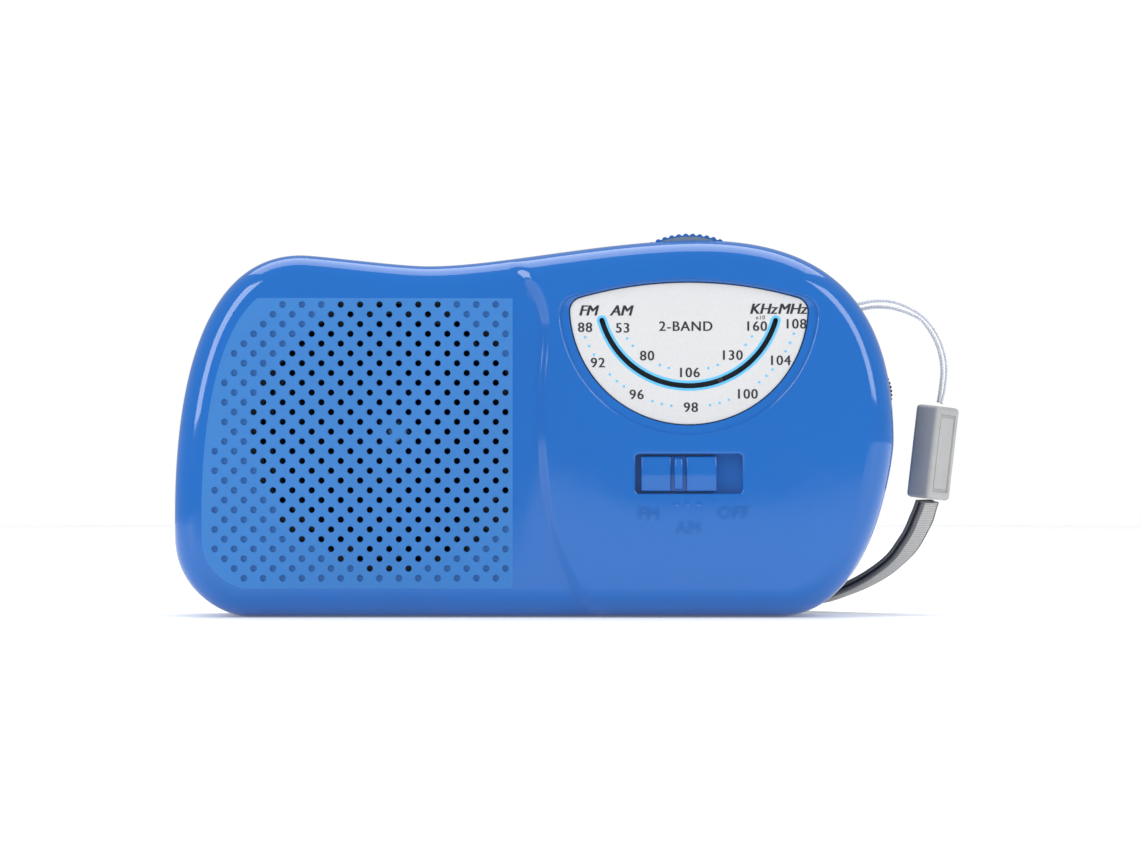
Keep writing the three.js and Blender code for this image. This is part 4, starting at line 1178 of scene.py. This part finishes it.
def woven(name, colour, dark, along, across, edge=None):
    """Thread pattern on the piece's own UV map, which holds metres along and across; with edge, painted shade
    darkens the band beyond that distance from its middle.
    """
    material, tree, shader = new_material(name)
    uv = tree.nodes.new("ShaderNodeUVMap")
    mapping = tree.nodes.new("ShaderNodeMapping")
    mapping.inputs["Scale"].default_value = (along, across, 1)
    mapping.inputs["Rotation"].default_value = (0, 0, math.radians(45))
    brick = tree.nodes.new("ShaderNodeTexChecker")
    brick.inputs["Scale"].default_value = 1.0
    brick.inputs["Color1"].default_value = (*colour, 1)
    brick.inputs["Color2"].default_value = (*dark, 1)
    tree.links.new(uv.outputs["UV"], mapping.inputs["Vector"])
    tree.links.new(mapping.outputs["Vector"], brick.inputs["Vector"])
    shown = brick.outputs["Color"]
    # Painted shade: the colour is darkened near the band's edges, standing in for the dark gap where its two
    # layers meet.
    if edge:
        split = tree.nodes.new("ShaderNodeSeparateXYZ")
        tree.links.new(uv.outputs["UV"], split.inputs[0])
        size = tree.nodes.new("ShaderNodeMath")
        size.operation = "ABSOLUTE"
        tree.links.new(split.outputs["Y"], size.inputs[0])
        painted_edge_shade = tree.nodes.new("ShaderNodeMath")
        painted_edge_shade.operation = "GREATER_THAN"
        painted_edge_shade.inputs[1].default_value = edge
        tree.links.new(size.outputs[0], painted_edge_shade.inputs[0])
        mix = tree.nodes.new("ShaderNodeMix")
        mix.data_type = "RGBA"
        mix.blend_type = "MULTIPLY"
        tree.links.new(painted_edge_shade.outputs[0], mix.inputs["Factor"])
        tree.links.new(shown, mix.inputs["A"])
        mix.inputs["B"].default_value = (0.3, 0.3, 0.31, 1)
        shown = mix.outputs["Result"]
    tree.links.new(shown, shader.inputs["Base Color"])
    bump = tree.nodes.new("ShaderNodeBump")
    bump.inputs["Distance"].default_value = 0.00008
    tree.links.new(brick.outputs["Fac"], bump.inputs["Height"])
    tree.links.new(bump.outputs["Normal"], shader.inputs["Normal"])
    shader.inputs["Roughness"].default_value = 0.75
    return material


def strap_weave():
    # The edge setting paints shade along both edges of each webbing layer.
    return woven("strap_weave", (0.44, 0.44, 0.44), (0.27, 0.27, 0.27), 3200, 3200, edge=2.5 * MM)


def strap_cord_braid():
    return woven("strap_cord_braid", (0.86, 0.86, 0.85), (0.72, 0.72, 0.72), 2600, 2600)


SLOT_FINISHES = {make.__name__: make for make in (
    black_plastic, slate_plastic, pink_print, cream_plastic, steel, black_steel, chrome_tube, brass,
    copper_wire, green_board, chip_black, orange_ceramic, ferrite, cone_film, foil, cell_jacket,
    red_wire, grey_wire, grey_clasp,
)}
SLOT_FINISHES.update(blue_plastic=case_blue, white_card=card_white, white_cord=strap_cord_braid)


def paint_frame():
    """Gives every frame piece that still shows the finish of its material slot."""
    for entry in frame["record"]["subparts"]:
        obj = frame["nodes"][entry["node"]]
        material = finish(SLOT_FINISHES[entry["material_slot"]])
        if obj.material_slots:
            for slot in obj.material_slots:
                slot.material = material
        else:
            obj.data.materials.append(material)


# ---- Dial ----

CAPITAL_HEIGHT = 0.73               # of the built-in font at size 1


def lettering_mesh(words, depth, shear, spacing):
    curve = bpy.data.curves.new("lettering", "FONT")
    curve.body = words
    curve.extrude = depth / 2
    curve.shear = shear
    curve.resolution_u = 4
    curve.space_character = spacing
    curve.align_x = "CENTER"
    holder = link(bpy.data.objects.new("lettering", curve))
    mesh = evaluated_mesh(holder)
    low = min(v.co.y for v in mesh.vertices)
    high = max(v.co.y for v in mesh.vertices)
    mesh.transform(Matrix.Translation((0, -(low + high) / 2, 0)))
    bpy.data.objects.remove(holder)
    return mesh


def text_mesh(bm, words, centre, height, depth, bold=0.0, shear=0.0, spacing=1.12):
    """Lettering facing front, its middle at centre; height is a capital's, bold widens the strokes."""
    scale = height / CAPITAL_HEIGHT
    mesh = lettering_mesh(words, depth / scale, shear, spacing)
    turn = Matrix.Rotation(math.pi / 2, 4, "X") @ Matrix.Scale(scale, 4)
    shifts = (-bold, 0, bold) if bold else (0,)
    for i, shift in enumerate(shifts):
        copy = mesh.copy()
        copy.transform(Matrix.Translation(centre + Vector((shift, 0.002 * MM * i, 0))) @ turn)
        bm.from_mesh(copy)
        bpy.data.meshes.remove(copy)
    bpy.data.meshes.remove(mesh)


def dial_card():
    bm = bmesh.new()
    front, back = PLATE_LOW.y, PLATE_HIGH.y
    edge = 0.12 * MM
    rings = loft(bm, [
        plate_outline(0, 0, back),
        plate_outline(0, 0, front + edge),
        plate_outline(-edge * 0.3, -edge * 0.3, front + edge * 0.3),
        plate_outline(-edge, -edge, front),
    ])
    half = bpy.context.scene.radio_dial.slot_width / 2
    slot = loft(bm, [slot_outline(half, front), slot_outline(half, back)])
    sheet(bm, rings[-1], [(OPEN_BENT, slot[0])], [], lambda q: front)
    sheet(bm, rings[0], [(OPEN_BENT, slot[1])], [], lambda q: back)
    bmesh.ops.recalc_face_normals(bm, faces=bm.faces)
    return bm


def slot_border():
    """The light printed line round the dial's slot."""
    bm = bmesh.new()
    settings = bpy.context.scene.radio_dial
    half = settings.slot_width / 2
    wide = half + settings.border
    low, high = PLATE_LOW.y - 0.03 * MM, PLATE_LOW.y + 0.05 * MM
    section = [(half, high), (half, low), (wide, low), (wide, high)]
    made = loft(bm, [slot_outline(out, y) for out, y in section])
    bridge(bm, made[-1], made[0])
    bmesh.ops.recalc_face_normals(bm, faces=bm.faces)
    return bm


def dial_print():
    """Band names and the numbers of both scales."""
    bm = bmesh.new()
    y = PLATE_LOW.y - 0.01 * MM
    x0, z0 = slot_centre()
    settings = bpy.context.scene.radio_dial
    digit, depth, bold = settings.digit, 0.05 * MM, 0.05 * MM
    for words, x, z in BAND_NAMES:
        text_mesh(bm, words, Vector((x0 + x * MM, y, z0 + z * MM)), digit * 1.08, depth, 0.09 * MM, 0.25, 1.0)
    for words, x, z in SCALE_NUMBERS:
        text_mesh(bm, words, Vector((x0 + x * MM, y, z0 + z * MM)), digit, depth, bold)
    text_mesh(bm, "x10", Vector((x0 + 12.35 * MM, y, z0 - 3.8 * MM)), digit * 0.42, depth)
    return bm


# Offsets in millimetres from the slot's centre.
BAND_NAMES = [("FM", -17.4, -2.6), ("AM", -11.7, -2.6), ("KHz", 12.8, -2.3), ("MHz", 17.8, -2.3)]
SCALE_NUMBERS = [
    ("88", -17.9, -5.5), ("92", -15.7, -11.6), ("96", -9.0, -17.1), ("98", 0.35, -19.3), ("100", 10.0, -17.0),
    ("104", 15.7, -11.2), ("108", 18.4, -4.9), ("53", -11.4, -5.6), ("80", -7.2, -10.4), ("106", 0.0, -13.3),
    ("130", 7.4, -10.3), ("160", 11.6, -5.3), ("2-BAND", -0.5, -5.3),
]


# Radius in millimetres and directions in degrees of each scale's dots.
DOT_ANGLES = [
    (19.3, [202, 207, 212, 225, 230, 234.5, 251, 256, 261, 281, 286, 291, 309, 314, 318.5, 330, 335, 340]),
    (13.0, [215, 222, 247.4, 254.6, 285, 292.6, 319, 327]),
]


def scale_dots():
    """Dots on both scales, in groups between the numbers."""
    bm = bmesh.new()
    x0, z0 = slot_centre()
    y = PLATE_LOW.y - 0.03 * MM
    dot = 0.23 * MM
    for radius, angles in DOT_ANGLES:
        for angle in angles:
            a = math.radians(angle - 360)
            centre = Vector((x0 + radius * MM * math.cos(a), y, z0 + radius * MM * math.sin(a)))
            turned(bm, [(0, 0), (dot, 0), (dot, 0.06 * MM), (0, 0.06 * MM)], centre, "Y", 12)
    return bm


# ---- Wheels ----

def knurled_wheel(name, node, material, count, rib, body, slot, lip=0.0):
    """A wheel with round ribs; lip is how far its rim stands forward over what it carries."""
    low, high = span(node)
    centre = (low + high) / 2
    radius = (high.z - low.z) / 2
    width = high.y - low.y
    bm = bmesh.new()
    turned(bm, rounded_profile(radius - rib, -width / 2, width / 2, 0.25 * MM), centre, "Y", 96)
    if lip:
        inner, outer = radius - rib, radius - 0.3 * MM
        front, behind = -width / 2 - lip, -width / 2 + 0.2 * MM
        section = [(inner, front), (outer, front), (outer, behind), (inner, behind), (inner, front)]
        turned(bm, section, centre, "Y", 96)
    seed = bpy.data.meshes.new(name)
    bm.to_mesh(seed)
    bm.free()
    mesh = grown(name, seed, knurl_tree(), **{
        "Count": count, "Ring Radius": radius - rib, "Rib Radius": rib, "Width": width + lip - 0.2 * MM,
        "Centre": centre - Vector((0, lip / 2, 0)), "Material": material})
    smooth(mesh, 50)
    return declare(link(bpy.data.objects.new(name, mesh)), body, slot, node)


# ---- Band switch ----

def knob_mesh():
    """The sliding knob: a flat plate with grooves beside an upright ridge."""
    bm = bmesh.new()
    low, high = span("band_knob")
    ridge_x = (low.x + high.x) / 2 - 0.05 * MM
    plate_front = low.y + 0.5 * MM
    plate_back = FACE + 1.9 * MM
    groove, ridge = 0.55 * MM, 0.75 * MM
    bevel_box(bm, (low.x, plate_front + 0.55 * MM, low.z), (high.x, plate_back, high.z), 0.15 * MM)
    fillet = 0.3 * MM
    plate_mid = plate_front + 1.0 * MM
    side = ridge + groove
    bevel_box(bm, (low.x, plate_front, low.z), (ridge_x - side, plate_mid, high.z), fillet)
    bevel_box(bm, (ridge_x + side, plate_front, low.z), (high.x, plate_mid, high.z), fillet)
    ridge_low = (ridge_x - ridge, low.y, low.z + fillet)
    ridge_high = (ridge_x + ridge, plate_front + 1.2 * MM, high.z - fillet)
    bevel_box(bm, ridge_low, ridge_high, 0.45 * MM, 4)
    stem = 1.2 * MM
    stem_low = (KNOB.x - stem, plate_back - 0.3 * MM, KNOB.z - stem)
    bevel_box(bm, stem_low, (KNOB.x + stem, high.y, KNOB.z + stem), 0.1 * MM)
    return bm


def band_labels():
    """Raised lettering and three dots below the switch."""
    bm = bmesh.new()
    y = FACE - 0.02 * MM
    size, depth = 2.1 * MM, 0.2 * MM
    for words, x, z in [("FM", -7.0, 18.0), ("AM", -0.1, 15.6), ("OFF", 7.6, 18.2)]:
        text_mesh(bm, words, Vector((DIAL_X + x * MM, y, z * MM)), size, depth, 0.06 * MM)
    for i in (-1, 0, 1):
        centre = Vector((DIAL_X + (i * 1.93 - 0.2) * MM, y - 0.06 * MM, 19.55 * MM))
        turned(bm, rounded_profile(0.55 * MM, 0, 0.16 * MM, 0.06 * MM, 2), centre, "Y", 16)
    return bm


# ---- Antenna ----

def tube(name, node, body, start=None, tongue=None, ball=False):
    low, high = span(node)
    centre = Vector((0, (low.y + high.y) / 2, (low.z + high.z) / 2))
    radius = (high.z - low.z) / 2
    end = start if start else high.x
    shoulder = 0.25 * MM
    rod_radius = min(radius, 1.0 * MM) if ball else radius
    bm = bmesh.new()
    if ball:
        knob = low.x + 3 * MM
        profile = [
            (0, low.x), (radius * 0.7, low.x), (radius, low.x + shoulder), (radius, knob - shoulder),
            (radius * 0.8, knob), (rod_radius, knob), (rod_radius, end), (0, end)]
    else:
        profile = [
            (0, low.x), (radius - shoulder, low.x), (radius, low.x + shoulder), (radius, end - shoulder),
            (radius - shoulder, end), (0, end)]
    turned(bm, profile, centre, "X", 48)
    if tongue:
        half = tongue / 2
        tongue_low = (end - 0.5 * MM, centre.y - half, low.z + 0.2 * MM)
        tongue_high = (high.x, centre.y + half, high.z - 0.2 * MM)
        bevel_box(bm, tongue_low, tongue_high, 0.3 * MM)
    return declare(piece(name, bm, finish(chrome_tube)), body, "chrome_tube", node)


# ---- Strap ----

def catmull(points, steps):
    """A smooth line through points."""
    points = [Vector(p) for p in points]
    padded = [2 * points[0] - points[1], *points, 2 * points[-1] - points[-2]]
    line = []
    for a, b, c, d in zip(padded, padded[1:], padded[2:], padded[3:]):
        for i in range(steps):
            t = i / steps
            square, cube = 2 * a - 5 * b + 4 * c - d, 3 * b - a - 3 * c + d
            line.append(0.5 * (2 * b + (c - a) * t + square * t * t + cube * t ** 3))
    return [*line, points[-1]]


def swept(bm, line, sides):
    """A closed tube along a line; sides gives the section's offsets at a point. UV holds metres."""
    layer = bm.loops.layers.uv.verify()
    lengths = [0.0]
    for a, b in zip(line, line[1:]):
        lengths.append(lengths[-1] + (b - a).length)
    rings, across = [], None
    for i, p in enumerate(line):
        along = (line[min(i + 1, len(line) - 1)] - line[max(i - 1, 0)]).normalized()
        offsets, across = sides(along)
        rings.append(add_ring(bm, [p + o for o in offsets]))
    count = len(rings[0])
    for k, (a, b) in enumerate(zip(rings, rings[1:])):
        for i in range(count):
            j = (i + 1) % count
            face = bm.faces.new([a[i], a[j], b[j], b[i]])
            uvs = [(lengths[k], across[i]), (lengths[k], across[i + 1]), (lengths[k + 1], across[i + 1]),
                   (lengths[k + 1], across[i])]
            for loop, uv in zip(face.loops, uvs):
                loop[layer].uv = uv
    cap(bm, rings[0])
    cap(bm, rings[-1])
    return lengths[-1]


def band_section(width, thickness, lift):
    """A flat section with round edges, its width level and square to the way the line runs."""
    def sides(along):
        level = Vector((-along.y, along.x, 0)).normalized()
        up = along.cross(level).normalized()
        half, thin = width / 2, thickness / 2
        points = []
        across = []
        for i in range(16):
            angle = 2 * math.pi * i / 16
            flat = math.copysign(abs(math.cos(angle)) ** 0.35, math.cos(angle)) * half
            tall = math.copysign(abs(math.sin(angle)) ** 0.5, math.sin(angle)) * thin
            points.append(level * flat + up * (tall + lift))
            across.append(flat)
        return points, [*across, across[0]]
    return sides


def round_section(radius, shift=0.0):
    def sides(along):
        side = along.cross(Vector((0.3, 1, 0.1))).normalized()
        up = along.cross(side).normalized()
        points = [side * a + up * (b + shift) for a, b in circle(radius, 12)]
        return points, [radius * 2 * math.pi * i / 12 for i in range(13)]
    return sides


# Points along the strap's parts, in metres.
CORD_POINTS = [
    (0.0715, 0.0061, 0.03695), (0.0721, 0.0062, 0.0392), (0.0725, 0.0064, 0.0426), (0.0723, 0.0067, 0.0452),
    (0.0714, 0.0072, 0.0482), (0.0699, 0.0078, 0.0508), (0.0677, 0.0085, 0.053), (0.0639, 0.0095, 0.0549),
    (0.0602, 0.0104, 0.0553), (0.0564, 0.011, 0.0546), (0.053, 0.011, 0.0542), (0.0498, 0.011, 0.0539),
    (0.0477, 0.0125, 0.0535), (0.0495, 0.0143, 0.0531), (0.0525, 0.0136, 0.0529), (0.0566, 0.0124, 0.0536),
    (0.0602, 0.0116, 0.0542), (0.0639, 0.0106, 0.0538), (0.0677, 0.0095, 0.0522), (0.0695, 0.0088, 0.0501),
    (0.071, 0.0081, 0.0471), (0.0717, 0.0076, 0.0433), (0.0714, 0.0073, 0.0396), (0.071, 0.0072, 0.0372),
]
WEBBING_POINTS = [
    (0.069, 0.0065, 0.0198), (0.0683, 0.0069, 0.0176), (0.0675, 0.0074, 0.0155), (0.0662, 0.0082, 0.013),
    (0.0645, 0.0093, 0.0105), (0.062, 0.0108, 0.0081), (0.0595, 0.0124, 0.0063), (0.0566, 0.0142, 0.0047),
    (0.0537, 0.016, 0.0035), (0.051, 0.0177, 0.0025), (0.047, 0.0202, 0.0016), (0.043, 0.0227, 0.0011),
    (0.038, 0.0254, 0.001), (0.031, 0.028, 0.001), (0.022, 0.0294, 0.001), (0.012, 0.0298, 0.001),
    (0.002, 0.0296, 0.001), (-0.008, 0.029, 0.001), (-0.018, 0.028, 0.001), (-0.027, 0.0266, 0.001),
]
CLASP_SIZE = Vector((8.3, 4.5, 16.4)) * MM
CLASP_TURN, CLASP_TILT = math.radians(58), math.radians(6.5)


def clasp_mesh():
    """The strap's grey joiner, with a framed panel on its broad face."""
    bm = bmesh.new()
    bevel_box(bm, -CLASP_SIZE / 2, CLASP_SIZE / 2, 0.7 * MM)
    bm.faces.ensure_lookup_table()
    broad = min(bm.faces, key=lambda f: f.calc_center_median().y - f.calc_area() * 1000)
    bmesh.ops.inset_region(bm, faces=[broad], thickness=0.9 * MM, depth=0)
    bmesh.ops.inset_region(bm, faces=[broad], thickness=0.25 * MM, depth=-0.3 * MM)
    bmesh.ops.inset_region(bm, faces=[broad], thickness=0.35 * MM, depth=0)
    bmesh.ops.inset_region(bm, faces=[broad], thickness=0.2 * MM, depth=0.2 * MM)
    place = (Matrix.Translation(middle("strap_connector"))
             @ Matrix.Rotation(CLASP_TILT, 4, "Y") @ Matrix.Rotation(CLASP_TURN, 4, "Z"))
    bmesh.ops.transform(bm, matrix=place, verts=bm.verts)
    return bm


def declare(obj, body, slot, *nodes):
    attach(obj, body)
    if nodes:
        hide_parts(*nodes)
    return obj


# ---- Settings ----

def colour_setting(name, description, default):
    return bpy.props.FloatVectorProperty(
        name=name, description=description, subtype="COLOR", size=3, min=0, max=1, default=default)


def length_setting(name, description, default):
    return bpy.props.FloatProperty(
        name=name, description=description, unit="LENGTH", default=default, precision=5)


def count_setting(name, description, default, least):
    return bpy.props.IntProperty(name=name, description=description, default=default, min=least)


class RadioCaseSettings(bpy.types.PropertyGroup):
    colour: colour_setting("Case colour", "Colour of the moulded case", (0.006, 0.108, 0.4))


class RadioGrilleSettings(bpy.types.PropertyGroup):
    rows: count_setting("Rows", "Rows of holes in the speaker field", 29, 1)
    row_pitch: length_setting("Row pitch", "Distance between rows", 0.001688)
    pitch: length_setting("Pitch", "Distance between holes in a row", 0.003345)
    hole: length_setting("Hole", "Diameter of a hole", 0.00108)
    blind_depth: length_setting("Blind depth", "Depth of the holes that don't go through", 0.0005)
    open_radius: length_setting("Open radius", "Holes this near the speaker's centre go through", 0.02405)
    margin: length_setting("Margin", "Least distance from a hole to the outline", 0.0066)


class RadioDialSettings(bpy.types.PropertyGroup):
    card: colour_setting("Card", "Colour of the dial card", (0.57, 0.57, 0.575))
    ink: colour_setting("Ink", "Colour of the lettering", (0.012, 0.012, 0.018))
    digit: length_setting("Digit height", "Height of the scale numbers", 0.00175)
    slot_width: length_setting("Slot width", "Width of the pointer's slot", 0.0009)
    border: length_setting("Border", "Width of the printed line round the slot", 0.00042)


class RadioWheelSettings(bpy.types.PropertyGroup):
    tuning_ribs: count_setting("Tuning ribs", "Grip ribs on the tuning wheel", 78, 12)
    volume_ribs: count_setting("Volume ribs", "Grip ribs on the volume wheel", 60, 12)


# ---- Operators ----

def area_light(name, place, target, size, power):
    data = bpy.data.lights.new(name, "AREA")
    data.shape = "RECTANGLE"
    data.size, data.size_y = size
    data.energy = power
    light = link(bpy.data.objects.new(name, data))
    light.location = place
    light.rotation_euler = (Vector(target) - Vector(place)).to_track_quat("-Z", "Y").to_euler()
    return light


class RADIO_OT_stage(bpy.types.Operator):
    """Adds the camera, lights, floor and surroundings"""
    bl_idname = "radio.stage"
    bl_label = "Stage"

    def execute(self, context):
        scene = context.scene
        scene.view_settings.view_transform = "Standard"
        data = bpy.data.cameras.new("camera")
        data.lens = 174
        camera = link(bpy.data.objects.new("camera", data))
        camera.location = (0.006, FACE - 0.95, 0.0328)
        camera.rotation_euler = (math.pi / 2, 0, 0)
        scene.camera = camera
        middle_of_case = (0, 0, 0.03)
        area_light("left_softbox", (-0.78, -0.56, 0.5), middle_of_case, (0.42, 0.8), 7)
        area_light("right_softbox", (0.78, -0.5, 0.5), middle_of_case, (0.42, 0.8), 6)
        area_light("top_softbox", (0, 0.35, 0.9), middle_of_case, (1.2, 0.7), 7.5)
        bm = bmesh.new()
        add = [bm.verts.new((0.9 * a, 0.9 * b, -0.0001)) for a, b in circle(1, 64)]
        bm.faces.new(add)
        floor = piece("floor", bm, floor_white())
        surroundings(scene)
        return {"FINISHED"}


def floor_white():
    material, tree, shader = new_material("floor_white")
    tone = noise(tree, 3, 2)
    tree.links.new(ramp(tree, tone, [(0.3, 0.88), (0.7, 0.9)]), shader.inputs["Base Color"])
    shader.inputs["Roughness"].default_value = 0.6
    shader.inputs["Specular IOR Level"].default_value = 0.2
    shader.inputs["Emission Color"].default_value = (1, 1, 1, 1)
    shader.inputs["Emission Strength"].default_value = 0.16
    return material


def surroundings(scene):
    """White behind the object, softer light from everywhere else."""
    world = bpy.data.worlds.new("surroundings")
    world.use_nodes = True
    scene.world = world
    tree = world.node_tree
    tree.nodes.clear()
    path = tree.nodes.new("ShaderNodeLightPath")
    seen, around = tree.nodes.new("ShaderNodeBackground"), tree.nodes.new("ShaderNodeBackground")
    seen.inputs["Color"].default_value = (1, 1, 1, 1)
    around.inputs["Color"].default_value = (0.94, 0.97, 1, 1)
    around.inputs["Strength"].default_value = 0.5
    mix, output = tree.nodes.new("ShaderNodeMixShader"), tree.nodes.new("ShaderNodeOutputWorld")
    tree.links.new(path.outputs["Is Camera Ray"], mix.inputs["Fac"])
    tree.links.new(around.outputs[0], mix.inputs[1])
    tree.links.new(seen.outputs[0], mix.inputs[2])
    tree.links.new(mix.outputs[0], output.inputs["Surface"])


class RADIO_OT_strap(bpy.types.Operator):
    """Builds the wrist strap: cord loop, clasp and webbing"""
    bl_idname = "radio.strap"
    bl_label = "Strap"

    def execute(self, context):
        clasp = piece("clasp", clasp_mesh(), finish(grey_clasp))
        declare(clasp, "case", "grey_clasp", "strap_connector")
        line = catmull(CORD_POINTS, 5)
        bm = bmesh.new()
        length = swept(bm, line, round_section(0.35 * MM))
        bmesh.ops.recalc_face_normals(bm, faces=bm.faces)
        cord = declare(piece("strap_loop", bm, finish(strap_cord_braid)), "case", "white_cord", "strap_cord")
        line = catmull(WEBBING_POINTS, 5)
        bm = bmesh.new()
        width, layer = 6.8 * MM, 0.8 * MM
        for lift in (-0.48 * MM, 0.48 * MM):
            length = swept(bm, line, band_section(width, layer, lift))
        bmesh.ops.recalc_face_normals(bm, faces=bm.faces)
        band = piece("strap_band", bm, finish(strap_weave), 60)
        declare(band, "case", "white_cord", "strap_webbing")
        return {"FINISHED"}


class RADIO_OT_front(bpy.types.Operator):
    """Builds the front of the case with its speaker grille, dial seat and switch window"""
    bl_idname = "radio.front"
    bl_label = "Front of case"

    def execute(self, context):
        front = piece("front_case", front_shell_mesh(), finish(case_blue), 30)
        front.data.materials.append(finish(field_blue))
        declare(front, "case", "blue_plastic", "front_shell")
        return {"FINISHED"}


class RADIO_OT_back(bpy.types.Operator):
    """Builds the back of the case and its battery door"""
    bl_idname = "radio.back"
    bl_label = "Back of case"

    def execute(self, context):
        declare(rear_shell_object(), "case", "blue_plastic", "rear_shell")
        door = piece("door", door_mesh(), finish(case_blue))
        declare(door, "door", "blue_plastic", "battery_door")
        return {"FINISHED"}


class RADIO_OT_dial(bpy.types.Operator):
    """Builds the dial card with its printed scales"""
    bl_idname = "radio.dial"
    bl_label = "Dial"

    def execute(self, context):
        declare(piece("dial_card", dial_card(), finish(card_white)), "case", "white_card", "dial_plate")
        declare(piece("dial_lettering", dial_print(), finish(ink)), "case", "white_card")
        declare(piece("slot_border", slot_border(), finish(scale_blue)), "case", "white_card")
        declare(piece("scale_dots", scale_dots(), finish(scale_blue)), "case", "white_card")
        return {"FINISHED"}


class RADIO_OT_wheels(bpy.types.Operator):
    """Builds the ribbed tuning and volume wheels"""
    bl_idname = "radio.wheels"
    bl_label = "Wheels"

    def execute(self, context):
        settings = context.scene.radio_wheels
        knurled_wheel("tuning_rim", "tuning_wheel", finish(tuning_blue), settings.tuning_ribs, 0.52 * MM,
                      "tuning", "blue_plastic", lip=0.55 * MM)
        knurled_wheel("volume_rim", "volume_wheel", finish(black_plastic), settings.volume_ribs, 0.3 * MM,
                      "volume", "black_plastic")
        return {"FINISHED"}


class RADIO_OT_band_switch(bpy.types.Operator):
    """Builds the band switch's knob and its raised labels"""
    bl_idname = "radio.band_switch"
    bl_label = "Band switch"

    def execute(self, context):
        declare(piece("switch_knob", knob_mesh(), finish(case_blue)), "band", "blue_plastic", "band_knob")
        declare(piece("switch_labels", band_labels(), finish(case_blue)), "case", "blue_plastic")
        return {"FINISHED"}


class RADIO_OT_antenna(bpy.types.Operator):
    """Builds the telescopic antenna's stages"""
    bl_idname = "radio.antenna"
    bl_label = "Antenna"

    def execute(self, context):
        shoulder = span("antenna_knuckle")[0].x - 0.6 * MM
        tube("antenna_stage_1", "antenna_tube_1", "antenna_outer", start=shoulder, tongue=2.1 * MM)
        tube("antenna_stage_2", "antenna_tube_2", "antenna_second")
        tube("antenna_stage_3", "antenna_tube_3", "antenna_third")
        tube("antenna_end", "antenna_tip", "antenna_inner", ball=True)
        return {"FINISHED"}


class RADIO_OT_screws(bpy.types.Operator):
    """Adds the heads of the case screws"""
    bl_idname = "radio.screws"
    bl_label = "Screws"

    def execute(self, context):
        screws("case_screw_heads", CASE_SCREWS, 2.2 * MM, 1, "case")
        return {"FINISHED"}


class RADIO_OT_inside(bpy.types.Operator):
    """Finishes the frame's own pieces: board, speaker, cells, wires and the rest"""
    bl_idname = "radio.inside"
    bl_label = "Inside"

    def execute(self, context):
        paint_frame()
        return {"FINISHED"}


OPERATORS = [
    RADIO_OT_stage, RADIO_OT_strap, RADIO_OT_front, RADIO_OT_back, RADIO_OT_dial, RADIO_OT_wheels,
    RADIO_OT_band_switch, RADIO_OT_antenna, RADIO_OT_screws, RADIO_OT_inside,
]
SETTINGS = {
    "radio_case": RadioCaseSettings, "radio_grille": RadioGrilleSettings,
    "radio_dial": RadioDialSettings, "radio_wheels": RadioWheelSettings,
}


class RADIO_PT_panel(bpy.types.Panel):
    """Sizes and colours, with a button for each group of pieces"""
    bl_idname = "RADIO_PT_panel"
    bl_label = "Pocket Radio"
    bl_space_type = "VIEW_3D"
    bl_region_type = "UI"
    bl_category = "Radio"

    def draw(self, context):
        layout = self.layout
        for name, group in SETTINGS.items():
            box = layout.box()
            for field in group.__annotations__:
                box.prop(getattr(context.scene, name), field)
        for operator in OPERATORS:
            layout.operator(operator.bl_idname)


def register():
    for cls in (*SETTINGS.values(), *OPERATORS, RADIO_PT_panel):
        bpy.utils.register_class(cls)
    for name, group in SETTINGS.items():
        setattr(bpy.types.Scene, name, bpy.props.PointerProperty(type=group))


def unregister():
    for name in SETTINGS:
        delattr(bpy.types.Scene, name)
    for cls in (RADIO_PT_panel, *OPERATORS[::-1], *list(SETTINGS.values())[::-1]):
        bpy.utils.unregister_class(cls)


def main():
    register()
    for operator in OPERATORS:
        group, name = operator.bl_idname.split(".")
        getattr(getattr(bpy.ops, group), name)()


if __name__ == "__main__":
    main()
